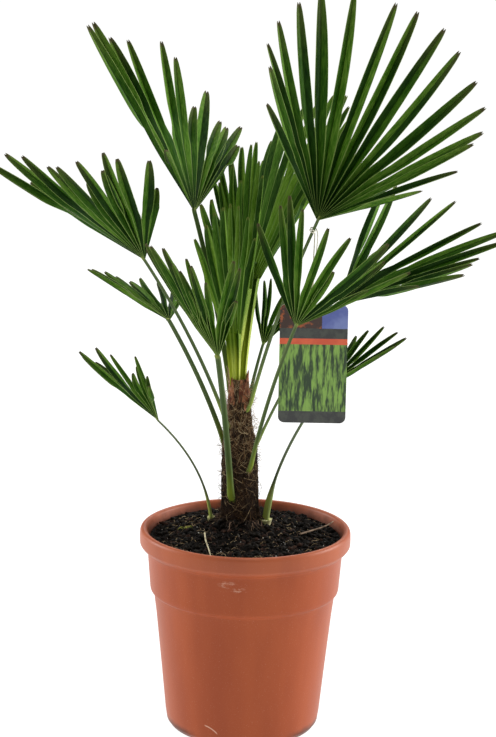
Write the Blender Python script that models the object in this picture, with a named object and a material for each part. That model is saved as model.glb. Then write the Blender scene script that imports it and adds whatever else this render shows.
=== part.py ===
"""Young windmill palm in its nursery pot, with a blank hang tag.

Metres, +Z up. The origin is on the flat underside of the pot, on the pot's axis.
+X is to the right and -Y to the front. Every frond is a leaf stalk and a pleated fan.
"""

import math
from dataclasses import dataclass

import bmesh
import bpy
from mathutils import Matrix, Vector

MM = 0.001
CLEAR = 0.3 * MM

# The pot
POT_SIDES = 40
POT_HEIGHT = 235 * MM
RIM_RADIUS = 120 * MM
RIM_DROP = 18.5 * MM
LIP_WIDTH = 8 * MM
WALL_TOP_RADIUS = 111 * MM
STEP_HEIGHT = 160 * MM
STEP_RADIUS = 103.5 * MM
STEP_WIDTH = 4.3 * MM
FOOT_RADIUS = 77.5 * MM
HEEL_RADIUS = 88.8 * MM
WALL = 2.8 * MM
DRAIN_HOLES = 8
DRAIN_RADIUS = 4.5 * MM
DRAIN_CIRCLE = 62 * MM

# The soil and the trunk that stands in it
SOIL_EDGE_HEIGHT = 223.5 * MM
SOIL_HEIGHT = 231.7 * MM
MOUND_RADIUS = 46 * MM
TRUNK_FOOT = Vector((-6.5, 30, 232)) * MM
TRUNK_TIP = Vector((-10, 30, 400)) * MM
TRUNK_SIDES = 18
TRUNK_GIRTH = (
    (0, 24.5), (7, 22.3), (20, 20.8), (50, 20.2), (88, 19.6),
    (104, 17), (116, 14.6), (146, 13.6), (160, 12.4), (168, 11.4),
)

# The leaf stalks and the leaves
STALK_SIDES = 6
STALK_RINGS = 9
STALK_SINK = 5 * MM
STALK_FLAT = 0.72
NECK = 0.6
NECK_LENGTH = 2.5 * MM
SPLIT = 0.44
PLEAT = 0.32
LEAFLET_WIDTH = 13.5 * MM
LEAFLET_FILL = 0.82
THINNEST = 1.3 * MM
THICKNESS_SHARE = 1 / 92

# The hang tag
TAG_WIDTH = 76 * MM
TAG_HEIGHT = 136 * MM
TAG_THICKNESS = 0.9 * MM
TAG_CORNER = 7 * MM
TAG_MIDDLE = Vector((72.2, -8, 429)) * MM
TAG_HOLE = Vector((68.5, -8, 491)) * MM
TAG_HOLE_RADIUS = 2.5 * MM
STRING_RADIUS = 0.6 * MM
STRING_SIDES = 5
STRING_WRAPS = 2
STRING_PITCH = 2.4 * MM
STRING_HEIGHT = 0.95


@dataclass(frozen=True)
class Frond:
    """A leaf: its stalk from foot to hub, and the leaflets that guide its fan.

    Foot and hub are in millimetres. A guide is a compass angle in degrees from +X
    towards +Y, a rise above the level in degrees, and a length in millimetres. The
    guides are spaced evenly across the fan, from its first leaflet to its last. The
    girth is the stalk's half width at foot and hub, and the gap parts it from the fan.
    """

    name: str
    foot: tuple
    hub: tuple
    guides: tuple
    leaflets: int
    girth: tuple = (3.1, 2.2)
    bend: float = 0.36
    rise: float = 0.5
    seat: str = "side"
    gap: float = 0.75


FRONDS = (
    Frond("big_right", (2, 21, 371), (73, -10, 592),
          ((-131, 57, 157), (66, 82, 252), (8, 44, 238), (-43, 20, 159)), 17, (3.3, 2.6),
          gap=1.4),
    Frond("tall_left", (-19, 34, 382), (-64, 50, 589),
          ((-153, 68, 132), (156, 59, 235), (102, 46, 212), (81, 24, 196), (61, 30, 103)), 15,
          gap=0.95),
    Frond("wide_left", (-23, 24, 350), (-116, -30, 548),
          ((152, 34, 123), (177, 32, 202), (-145, 43, 172), (-114, 48, 165), (-67, 65, 96)), 15,
          gap=0.9),
    Frond("back_left", (-24, 36, 318), (-91, 50, 463),
          ((164, 28, 121), (140, 20, 118), (114, 15, 113), (80, 18, 132)), 10, gap=0.85),
    Frond("low_left", (-39, 30, 232), (-99, -30, 366),
          ((142, 46, 51), (165, 37, 110), (-168, 46, 102), (-134, 59, 84), (-104, 50, 62)), 11,
          (2.4, 1.6), 0.1, 0.5, "soil"),
    Frond("front_left", (-17, 12, 266), (-33, -88, 452),
          ((-164, 57, 161), (-134, 58, 144), (-107, 60, 128), (-66, 49, 137)), 11,
          (4.0, 3.0)),
    Frond("front_right", (4, 14, 300), (50, -90, 489),
          ((-179, 65, 66), (-103, 74, 148), (-47, 56, 137), (-14, 36, 141), (12, 22, 97)), 13),
    Frond("back_right", (10, 33, 322), (101, 60, 483),
          ((51, 58, 116), (44, 36, 181), (6, 27, 200), (-36, 20, 172), (-67, 22, 98)), 13,
          gap=1.0),
    Frond("small_back", (0, 44, 366), (16, 90, 427),
          ((104, 48, 39), (86, 62, 80), (44, 55, 65), (20, 42, 58)), 8, (2.4, 1.6)),
    Frond("low_right", (22, 24, 232), (90, 70, 383),
          ((67, 31, 70), (40, 41, 91), (6, 34, 109), (-22, 38, 58)), 10, (4.2, 1.7),
          0.1, 0.5, "soil"),
    Frond("young_front", (-12, 24.5, 400), (-15, 12, 456),
          ((152, 63, 117), (145, 80, 145), (-77, 82, 148), (-46, 67, 89)), 9, (3.2, 2.8),
          0.3, 0.5, "tip"),
    Frond("young_centre", (-15, 33, 400), (-4, 35, 503),
          ((171, 61, 118), (145, 74, 128), (-16, 88, 158), (-68, 72, 74)), 9, (3.2, 2.6),
          0.3, 0.5, "tip"),
    Frond("young_right", (-5, 30, 400), (9, 60, 510),
          ((69, 34, 170), (82, 52, 178), (24, 64, 226), (-34, 58, 112)), 13, (3.2, 2.6),
          0.3, 0.5, "tip"),
    Frond("young_back", (-10, 38, 400), (-4, 110, 500),
          ((125, 50, 110), (105, 58, 160), (75, 58, 165), (55, 50, 115)), 10, (3.0, 2.2),
          0.3, 0.5, "tip"),
)


def material(name, colour, roughness, metallic=0.0):
    """Return a plain Principled material."""
    made = bpy.data.materials.new(name)
    made.use_nodes = True
    shader = made.node_tree.nodes["Principled BSDF"]
    shader.inputs["Base Color"].default_value = (*colour, 1.0)
    shader.inputs["Roughness"].default_value = roughness
    shader.inputs["Metallic"].default_value = metallic
    return made


def place(name, body, finish, smooth=True):
    """Turn a bmesh into a named object with its finish."""
    mesh = bpy.data.meshes.new(name)
    body.to_mesh(mesh)
    body.free()
    if smooth:
        mesh.shade_smooth()
        mesh.set_sharp_from_angle(angle=math.radians(35))
    mesh.materials.append(finish)
    thing = bpy.data.objects.new(name, mesh)
    bpy.context.scene.collection.objects.link(thing)
    return thing


def hide_cutter(thing):
    """Mark an object as a cutter that isn't part of the palm."""
    thing.hide_render = True
    thing.display_type = "WIRE"


def cut(thing, cutter):
    """Cut one object by another with a live Boolean."""
    boolean = thing.modifiers.new("cut", "BOOLEAN")
    boolean.operation = "DIFFERENCE"
    boolean.object = cutter
    boolean.solver = "EXACT"


def turned(profile, sides):
    """Spin a profile of (radius, height) points about Z; it starts and ends on the axis."""
    body = bmesh.new()
    points = [body.verts.new((radius, 0, height)) for radius, height in profile]
    edges = [body.edges.new(pair) for pair in zip(points, points[1:])]
    bmesh.ops.spin(
        body, geom=points + edges, cent=(0, 0, 0), axis=(0, 0, 1),
        angle=2 * math.pi, steps=sides, use_merge=True,
    )
    bmesh.ops.remove_doubles(body, verts=body.verts, dist=0.01 * MM)
    bmesh.ops.recalc_face_normals(body, faces=body.faces)
    return body


def rings_to_body(rings):
    """Join closed rings of points into one body with flat end caps."""
    body = bmesh.new()
    loops = [[body.verts.new(point) for point in ring] for ring in rings]
    count = len(loops[0])
    for low, high in zip(loops, loops[1:]):
        for i in range(count):
            j = (i + 1) % count
            body.faces.new((low[i], low[j], high[j], high[i]))
    body.faces.new(reversed(loops[0]))
    body.faces.new(loops[-1])
    bmesh.ops.recalc_face_normals(body, faces=body.faces)
    return body


def circle(centre, radius, sides):
    """Return points round a level circle."""
    turns = [2 * math.pi * i / sides for i in range(sides)]
    return [centre + Vector((radius * math.cos(a), radius * math.sin(a), 0)) for a in turns]


def inner_wall():
    """Return the inside of the pot as (radius, height) points, from the lip to the floor."""
    return [
        (RIM_RADIUS - LIP_WIDTH, POT_HEIGHT - 2.5 * MM),
        (WALL_TOP_RADIUS - WALL + 1.4 * MM, POT_HEIGHT - 13 * MM),
        (WALL_TOP_RADIUS - WALL, POT_HEIGHT - 30 * MM),
        (STEP_RADIUS + STEP_WIDTH - WALL, STEP_HEIGHT + 10 * MM),
        (STEP_RADIUS - WALL, STEP_HEIGHT - 2 * MM),
        (HEEL_RADIUS - WALL, 19.4 * MM),
        (FOOT_RADIUS + 1 * MM, 6 * MM),
        (FOOT_RADIUS - 4 * MM, 4 * MM),
    ]


def build_pot():
    """Build the pot: a rolled lip, a deep rim band, a stepped wall and a drained floor."""
    outside = [
        (FOOT_RADIUS, 0),
        (FOOT_RADIUS + 5.5 * MM, 2 * MM),
        (HEEL_RADIUS - 1.8 * MM, 7.5 * MM),
        (HEEL_RADIUS, 19.4 * MM),
        (STEP_RADIUS - 3 * MM, STEP_HEIGHT - 25 * MM),
        (STEP_RADIUS, STEP_HEIGHT - 2 * MM),
        (STEP_RADIUS + STEP_WIDTH, STEP_HEIGHT + 3.5 * MM),
        (STEP_RADIUS + STEP_WIDTH + 0.6 * MM, STEP_HEIGHT + 12 * MM),
        (WALL_TOP_RADIUS, POT_HEIGHT - RIM_DROP - 11 * MM),
        (WALL_TOP_RADIUS + 1 * MM, POT_HEIGHT - RIM_DROP - 6.5 * MM),
        (RIM_RADIUS - 2 * MM, POT_HEIGHT - RIM_DROP - 2 * MM),
        (RIM_RADIUS, POT_HEIGHT - RIM_DROP + 1 * MM),
        (RIM_RADIUS, POT_HEIGHT - 4 * MM),
        (RIM_RADIUS - 1.2 * MM, POT_HEIGHT - 1.2 * MM),
        (RIM_RADIUS - 3.6 * MM, POT_HEIGHT),
        (RIM_RADIUS - 6.4 * MM, POT_HEIGHT - 0.6 * MM),
    ]
    profile = [(0, 0)] + outside + inner_wall() + [(0, inner_wall()[-1][1])]
    finish = material("terracotta plastic", (0.52, 0.17, 0.085), 0.42)
    pot = place("pot", turned(profile, POT_SIDES), finish)
    drains = bmesh.new()
    for hole in range(DRAIN_HOLES):
        angle = 2 * math.pi * (hole + 0.5) / DRAIN_HOLES
        shaft = bmesh.ops.create_cone(
            drains, cap_ends=True, segments=10, radius1=DRAIN_RADIUS,
            radius2=DRAIN_RADIUS, depth=20 * MM,
        )
        spot = Vector((math.cos(angle), math.sin(angle), 0)) * DRAIN_CIRCLE
        bmesh.ops.translate(drains, verts=shaft["verts"], vec=spot)
    cutter = place("drain cutter", drains, finish, smooth=False)
    hide_cutter(cutter)
    cut(pot, cutter)


def soil_height(share):
    """Return the soil's height, from the flat mound at 0 to the pot's wall at 1."""
    fall = 0.5 - 0.5 * math.cos(math.pi * share)
    return SOIL_HEIGHT + (SOIL_EDGE_HEIGHT - SOIL_HEIGHT) * fall


def build_soil():
    """Build the soil that fills the pot, mounded round the trunk."""
    step = inner_wall()[4]
    heel = inner_wall()[5]
    edge_radius = WALL_TOP_RADIUS - WALL
    rings = [
        circle(Vector((0, 0, 4.4 * MM)), FOOT_RADIUS - 6 * MM, POT_SIDES),
        circle(Vector((0, 0, heel[1])), heel[0] - 2 * CLEAR, POT_SIDES),
        circle(Vector((0, 0, step[1] - 20 * MM)), step[0] - 2.6 * MM, POT_SIDES),
        circle(Vector((0, 0, SOIL_EDGE_HEIGHT)), edge_radius, POT_SIDES),
    ]
    for share in (0.66, 0.33, 0):
        centre = Vector((TRUNK_FOOT.x, TRUNK_FOOT.y, 0)) * (1 - share)
        centre.z = soil_height(share)
        radius = MOUND_RADIUS + (edge_radius - MOUND_RADIUS) * share
        rings.append(circle(centre, radius, POT_SIDES))
    place("soil", rings_to_body(rings), material("potting soil", (0.02, 0.015, 0.012), 0.95))


def trunk_rings(grow=0.0):
    """Return the trunk's rings from its flat foot to its tip, grown by a clearance."""
    height = TRUNK_TIP.z - TRUNK_FOOT.z
    last = TRUNK_GIRTH[-1][0]
    rings = []
    for rise, radius in TRUNK_GIRTH:
        centre = TRUNK_FOOT.lerp(TRUNK_TIP, rise / last)
        centre.z = TRUNK_FOOT.z - grow + (height + 2 * grow) * rise / last
        rings.append(circle(centre, radius * MM + grow, TRUNK_SIDES))
    return rings


def build_trunk():
    """Build the trunk, and the slightly larger copy that seats the leaf stalks."""
    finish = material("trunk fibre", (0.09, 0.055, 0.03), 0.9)
    place("trunk", rings_to_body(trunk_rings()), finish)
    seat = place("trunk seat", rings_to_body(trunk_rings(CLEAR)), finish)
    hide_cutter(seat)
    return seat


def leaflet_rays(frond):
    """Return the direction and length of each leaflet, by a polynomial through the guides."""
    ways, lengths = [], []
    for compass, rise, length in frond.guides:
        flat = math.cos(math.radians(rise))
        ways.append(Vector((
            flat * math.cos(math.radians(compass)),
            flat * math.sin(math.radians(compass)),
            math.sin(math.radians(rise)),
        )))
        lengths.append(length * MM)
    knots = [k / (len(ways) - 1) for k in range(len(ways))]
    rays = []
    for i in range(frond.leaflets):
        t = i / (frond.leaflets - 1)
        weights = []
        for k, knot in enumerate(knots):
            others = [other for m, other in enumerate(knots) if m != k]
            weights.append(math.prod((t - other) / (knot - other) for other in others))
        way = sum((w * weight for w, weight in zip(ways, weights)), Vector())
        length = sum(a * weight for a, weight in zip(lengths, weights))
        rays.append((way.normalized(), length))
    return rays


def stalk_point(frond, t):
    """Return a point of the stalk's centre line, a quadratic curve from foot to hub."""
    foot = Vector(frond.foot) * MM
    hub = Vector(frond.hub) * MM
    span = hub - foot
    knee = foot + Vector((span.x * frond.bend, span.y * frond.bend, span.z * frond.rise))
    return (1 - t) ** 2 * foot + 2 * t * (1 - t) * knee + t * t * hub


def build_stalk(frond, finish, seat):
    """Build the leaf stalk, one tapering limb seated on the trunk or on the soil."""
    hub = Vector(frond.hub) * MM
    aim = sum((way for way, _ in leaflet_rays(frond)), Vector()).normalized()
    points = [stalk_point(frond, i / (STALK_RINGS - 1)) for i in range(STALK_RINGS)]
    approach = (points[-1] - points[-2]).normalized()
    end = hub - (approach + aim).normalized() * frond.gap * MM
    points[-1] = end - approach * NECK_LENGTH
    points.append(end)
    if frond.seat == "side":
        inward = Vector((TRUNK_FOOT.x - points[0].x, TRUNK_FOOT.y - points[0].y, 0))
        points[0] += inward.normalized() * STALK_SINK - Vector((0, 0, STALK_SINK))
    side = aim.cross(Vector((0, 0, 1)))
    rings = []
    for i, point in enumerate(points):
        share = i / (len(points) - 1)
        ahead = points[min(i + 1, len(points) - 1)] - points[max(i - 1, 0)]
        along = Vector((0, 0, 1)) if i == 0 and frond.seat != "side" else ahead.normalized()
        across = (side - along * side.dot(along)).normalized()
        up = across.cross(along)
        radius = (frond.girth[0] + (frond.girth[1] - frond.girth[0]) * share ** 0.6) * MM
        if i == len(points) - 1:
            radius *= NECK
        ring = []
        for k in range(STALK_SIDES):
            angle = 2 * math.pi * k / STALK_SIDES
            wide = across * math.cos(angle) * radius
            ring.append(point + wide + up * math.sin(angle) * radius * STALK_FLAT)
        rings.append(ring)
    if frond.seat != "side":
        lift = TRUNK_TIP.z if frond.seat == "tip" else TRUNK_FOOT.z
        for corner in rings[0]:
            corner.z = lift + CLEAR
    stalk = place(f"stalk_{frond.name}", rings_to_body(rings), finish)
    if frond.seat == "side":
        cut(stalk, seat)


def build_blade(frond, finish):
    """Build the fan: pleated and whole near the hub, cut into leaflets beyond the split."""
    hub = Vector(frond.hub) * MM
    count = frond.leaflets
    rays = leaflet_rays(frond)
    ways = [way for way, _ in rays]
    lengths = [length for _, length in rays]
    seams = [ways[0] * 1.5 - ways[1] * 0.5]
    seams += [(a + b) / 2 for a, b in zip(ways, ways[1:])]
    seams += [ways[-1] * 1.5 - ways[-2] * 0.5]
    seams = [seam.normalized() for seam in seams]
    splits = [SPLIT * min(a, b) for a, b in zip(lengths, lengths[1:])]
    splits = [SPLIT * lengths[0]] + splits + [SPLIT * lengths[-1]]

    body = bmesh.new()
    centre = body.verts.new(hub)
    faces_up = sum((b - a for a, b in zip(ways, ways[1:])), Vector()).cross(ways[count // 2])
    seam_points = []
    for k, (seam, reach) in enumerate(zip(seams, splits)):
        across = seams[min(k + 1, count)] - seams[max(k - 1, 0)]
        normal = across.cross(seam).normalized()
        if normal.dot(faces_up) < 0:
            normal.negate()
        lift = PLEAT * across.length / 4 * reach
        seam_points.append(body.verts.new(hub + seam * reach + normal * lift))
    for i, (way, length) in enumerate(rays):
        across = (seams[i + 1] - seams[i])
        start = (splits[i] + splits[i + 1]) / 2
        normal = across.cross(way).normalized()
        if normal.dot(faces_up) < 0:
            normal.negate()
        tangent = (across - way * across.dot(way)).normalized()
        room = across.length * start * LEAFLET_FILL
        half = min(room, LEAFLET_WIDTH) / 2
        sink = PLEAT * across.length / 4 * start
        rib = body.verts.new(hub + way * start - normal * sink)
        left, right = seam_points[i], seam_points[i + 1]
        body.faces.new((centre, left, rib))
        body.faces.new((centre, rib, right))
        for reach, share in ((0.42, 1.0), (0.86, 0.62), (1.0, 0.2)):
            at = hub + way * (start + (length - start) * reach)
            fold = normal * half * share * PLEAT
            new_rib = body.verts.new(at - fold * 0.5)
            new_left = body.verts.new(at - tangent * half * share + fold * 0.5)
            new_right = body.verts.new(at + tangent * half * share + fold * 0.5)
            body.faces.new((left, new_left, new_rib, rib))
            body.faces.new((rib, new_rib, new_right, right))
            left, rib, right = new_left, new_rib, new_right
    bmesh.ops.recalc_face_normals(body, faces=body.faces)
    blade = place(f"blade_{frond.name}", body, finish)
    thick = blade.modifiers.new("thickness", "SOLIDIFY")
    thick.thickness = max(THINNEST, max(lengths) * THICKNESS_SHARE)
    thick.offset = 0


def build_tag():
    """Build the blank hang tag, a stiff card with round corners and a punched hole."""
    half_width = TAG_WIDTH / 2 - TAG_CORNER
    half_height = TAG_HEIGHT / 2 - TAG_CORNER
    outline = []
    for side_x, side_z, start in ((1, 1, 0), (-1, 1, 90), (-1, -1, 180), (1, -1, 270)):
        for step in range(4):
            angle = math.radians(start + 30 * step)
            corner = Vector((math.cos(angle), 0, math.sin(angle))) * TAG_CORNER
            outline.append(corner + Vector((side_x * half_width, 0, side_z * half_height)))
    half = Vector((0, TAG_THICKNESS / 2, 0))
    rings = [[TAG_MIDDLE + point + shift for point in outline] for shift in (-half, half)]
    card = material("tag card", (0.3, 0.35, 0.2), 0.35)
    tag = place("hang_tag", rings_to_body(rings), card, smooth=False)
    punch = bmesh.new()
    shaft = bmesh.ops.create_cone(
        punch, cap_ends=True, segments=12, radius1=TAG_HOLE_RADIUS,
        radius2=TAG_HOLE_RADIUS, depth=10 * MM,
    )
    turn = Matrix.Rotation(math.pi / 2, 3, "X")
    bmesh.ops.rotate(punch, verts=shaft["verts"], cent=(0, 0, 0), matrix=turn)
    bmesh.ops.translate(punch, verts=shaft["verts"], vec=TAG_HOLE)
    cutter = place("hole punch", punch, card, smooth=False)
    hide_cutter(cutter)
    cut(tag, cutter)


def string_route():
    """Return the closed route of the tag's string: wraps round a stalk, and the hole."""
    frond = FRONDS[0]
    middle = stalk_point(frond, STRING_HEIGHT)
    along = (stalk_point(frond, 1) - stalk_point(frond, STRING_HEIGHT - 0.05)).normalized()
    right = (Vector((1, 0, 0)) - along * along.x).normalized()
    back = along.cross(right)
    radius = frond.girth[1] * MM + STRING_RADIUS + CLEAR
    steps = 8 * STRING_WRAPS
    wraps = []
    for i in range(steps + 1):
        angle = 2 * math.pi * i / 8
        height = along * STRING_PITCH * (i / 8 - STRING_WRAPS / 2)
        wraps.append(middle + height - back * radius * math.sin(angle)
                     + right * radius * math.cos(angle))
    front = Vector((0, -2 * MM, 0))
    start, end = wraps[0], wraps[-1]
    rise = Vector((0, 0, 4 * MM))
    down = [TAG_HOLE - front + rise, TAG_HOLE + Vector((0, 0, 0.5 * MM)), TAG_HOLE + front + rise]
    fall_front = [down[2].lerp(start, share) for share in (0.3, 0.6, 0.85)]
    outward = right * 2.4 * MM - back * 0.5 * MM
    fall_back = [(end + outward).lerp(down[0], share) for share in (0.06, 0.3, 0.7)]
    return fall_front + wraps + fall_back + down


def build_string():
    """Build the string as one closed loop of a thin round cord."""
    route = string_route()
    count = len(route)
    body = bmesh.new()
    loops = []
    side = Vector((0, 0, 1))
    for i, point in enumerate(route):
        along = (route[(i + 1) % count] - route[i - 1]).normalized()
        side = (side - along * side.dot(along)).normalized()
        up = along.cross(side)
        ring = []
        for k in range(STRING_SIDES):
            angle = 2 * math.pi * k / STRING_SIDES
            ring.append(body.verts.new(
                point + (side * math.cos(angle) + up * math.sin(angle)) * STRING_RADIUS))
        loops.append(ring)
    twist = min(range(STRING_SIDES), key=lambda k: (loops[-1][0].co - loops[0][k].co).length)
    loops.append(loops[0][twist:] + loops[0][:twist])
    for low, high in zip(loops, loops[1:]):
        for k in range(STRING_SIDES):
            j = (k + 1) % STRING_SIDES
            body.faces.new((low[k], low[j], high[j], high[k]))
    bmesh.ops.recalc_face_normals(body, faces=body.faces)
    place("tag_string", body, material("tag string", (0.8, 0.78, 0.7), 0.8))


def build_palm():
    """Build the whole palm."""
    build_pot()
    build_soil()
    seat = build_trunk()
    stalk_green = material("leaf stalk", (0.09, 0.14, 0.05), 0.45)
    leaf_green = material("leaf", (0.03, 0.09, 0.02), 0.42)
    for frond in FRONDS:
        build_stalk(frond, stalk_green, seat)
        build_blade(frond, leaf_green)
    build_tag()
    build_string()


for old in list(bpy.data.objects):
    bpy.data.objects.remove(old, do_unlink=True)
build_palm()
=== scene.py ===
"""Studio scene of a young windmill palm in its nursery pot.

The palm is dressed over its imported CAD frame: every solid is replaced by a finer piece in
the same place, by the rules that the solids follow. Metres, +Z up, +X to the right and -Y
towards the camera.
"""

import logging
from dataclasses import dataclass, field
from enum import Enum
from functools import lru_cache, partial
from math import atan2, copysign, cos, hypot, pi, prod, radians, sin, sqrt
from random import Random
from typing import Callable, Iterable, Sequence, Union

import bmesh
import bpy
import numpy as np
from bmesh.types import BMEdge, BMesh, BMFace, BMVert
from bpy.types import ID, Material, Mesh, NodeSocket, Object
from mathutils import Matrix, Vector, noise


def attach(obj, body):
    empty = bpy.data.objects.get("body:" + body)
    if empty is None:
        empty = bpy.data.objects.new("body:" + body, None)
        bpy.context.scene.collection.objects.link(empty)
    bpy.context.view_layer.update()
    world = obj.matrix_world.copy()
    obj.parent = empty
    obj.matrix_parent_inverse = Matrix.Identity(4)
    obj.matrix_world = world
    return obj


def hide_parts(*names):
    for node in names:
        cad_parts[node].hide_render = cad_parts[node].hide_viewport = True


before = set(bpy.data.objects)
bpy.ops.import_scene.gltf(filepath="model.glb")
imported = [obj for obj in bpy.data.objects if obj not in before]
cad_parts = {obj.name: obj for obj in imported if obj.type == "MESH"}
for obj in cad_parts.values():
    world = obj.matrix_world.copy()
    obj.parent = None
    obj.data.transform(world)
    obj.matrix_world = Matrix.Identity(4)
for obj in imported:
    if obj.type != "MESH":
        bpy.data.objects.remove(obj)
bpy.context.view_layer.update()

MM = 0.001
TURN = 2 * pi
UP = Vector((0, 0, 1))
Colour = tuple[float, float, float]
Placer = Callable[[float, float], Vector]
log = logging.getLogger("palm")


def ease(value: float) -> float:
    """Return 0 below 0 and 1 above 1, with a smooth step between."""
    held = min(max(value, 0.0), 1.0)
    return held * held * (3 - 2 * held)


def along_table(value: float, table: Sequence[tuple[float, float]]) -> float:
    """Return the value of a table of (place, value) rows, straight between its rows."""
    return float(np.interp(value, [row[0] for row in table], [row[1] for row in table]))


# Materials


def arithmetic(operation: str) -> Callable[["Value", "Number"], "Value"]:
    """Return a method of Value that adds one kind of Math node."""
    def method(self: "Value", other: "Number") -> "Value":
        """Add the node over this and a number."""
        return self.graph.maths(operation, self, other)
    return method


class Value:
    """One output of a material's nodes. Arithmetic on it adds Math nodes."""

    def __init__(self, graph: "Graph", socket: NodeSocket) -> None:
        """Keep the socket and the graph that it belongs to."""
        self.graph = graph
        self.socket = socket

    def __rsub__(self, other: "Number") -> "Value":
        """Take this from a number."""
        return self.graph.maths("SUBTRACT", other, self)

    __add__ = __radd__ = arithmetic("ADD")
    __sub__ = arithmetic("SUBTRACT")
    __mul__ = __rmul__ = arithmetic("MULTIPLY")
    __truediv__ = arithmetic("DIVIDE")
    __pow__ = arithmetic("POWER")


Number = Union[Value, float]
Tint = Union[Value, Colour]


def linear(tint: Tint) -> object:
    """Turn a display colour, 0 to 255, into a shader's linear one. A Value stays as it is."""
    if isinstance(tint, Value):
        return tint
    return (*((c / 255 / 12.92) if c < 10.3 else ((c / 255 + 0.055) / 1.055) ** 2.4
              for c in tint), 1.0)


class Graph:
    """The nodes of one material, ending in its Principled shader."""

    def __init__(self, name: str) -> None:
        """Start a material of this name."""
        self.material = bpy.data.materials.new(name)
        self.material.use_nodes = True
        self.tree = self.material.node_tree
        self.shader = self.tree.nodes["Principled BSDF"]

    def feed(self, socket: NodeSocket, value: object) -> None:
        """Link a Value to a socket, or set the socket to a constant."""
        if isinstance(value, Value):
            self.tree.links.new(value.socket, socket)
        else:
            socket.default_value = value

    def node(self, kind: str, inputs: dict | None = None, output: int | str = 0,
             **settings: object) -> Value:
        """Add one node.

        Args:
            kind: The node's type, without its leading ShaderNode.
            inputs: Values or links of its sockets, by name or number.
            output: The output that is read.
            settings: The node's own settings.

        Returns:
            The node's output.
        """
        made = self.tree.nodes.new("ShaderNode" + kind)
        for key, setting in settings.items():
            setattr(made, key, setting)
        for key, value in (inputs or {}).items():
            self.feed(made.inputs[key], value)
        return Value(self, made.outputs[output])

    def maths(self, operation: str, *values: Number) -> Value:
        """Add a Math node over these values."""
        return self.node("Math", dict(enumerate(values)), operation=operation)

    def mix(self, factor: Number, first: Tint, second: Tint) -> Value:
        """Mix two colours: the first at 0 and the second at 1."""
        return self.node("Mix", {0: factor, 6: linear(first), 7: linear(second)}, 2,
                         data_type="RGBA")

    def place(self) -> Value:
        """Return the piece's own coordinates."""
        return self.node("TexCoord", output="Object")

    def along(self, scale: Sequence[float]) -> Value:
        """Return the coordinates across and along a leaf or strand, scaled."""
        return self.stretch(self.node("UVMap", uv_map="leaf"), scale)

    def stretch(self, where: Value, scale: Sequence[float],
                turn: Sequence[float] = (0, 0, 0)) -> Value:
        """Scale and turn coordinates."""
        return self.node("Mapping", {"Vector": where, "Scale": scale, "Rotation": turn})

    def noise(self, where: Value, scale: float, detail: float = 2.0,
              roughness: float = 0.5) -> Value:
        """Return a noise of about 0 to 1."""
        return self.node("TexNoise", {"Vector": where, "Scale": scale, "Detail": detail,
                                      "Roughness": roughness})

    def step(self, value: Number, low: float, high: float) -> Value:
        """Return a smooth step that rises from 0 at low to 1 at high, or falls."""
        if low < high:
            return self.node("MapRange", {"Value": value, "From Min": low, "From Max": high},
                             interpolation_type="SMOOTHSTEP")
        return 1 - self.step(value, high, low)

    def attribute(self, name: str) -> Value:
        """Return a number stored on the mesh."""
        return self.node("Attribute", output="Fac", attribute_name=name)

    def finish(self, colour: Tint, roughness: Number, height: Value | None = None,
               depth: float = 0.0, **constants: float) -> Material:
        """Feed the shader and return the material.

        Args:
            colour: Base colour.
            roughness: Roughness.
            height: Relief of 0 to 1 for the bump.
            depth: Depth of that relief, in metres.
            constants: Other sockets of the shader, with _ for a space.

        Returns:
            The finished material.
        """
        self.feed(self.shader.inputs["Base Color"], linear(colour))
        self.feed(self.shader.inputs["Roughness"], roughness)
        for key, value in constants.items():
            self.shader.inputs[key.replace("_", " ")].default_value = value
        if height is not None:
            bump = self.node("Bump", {"Height": height, "Distance": depth, "Strength": 1.0})
            self.feed(self.shader.inputs["Normal"], bump)
        return self.material


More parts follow.
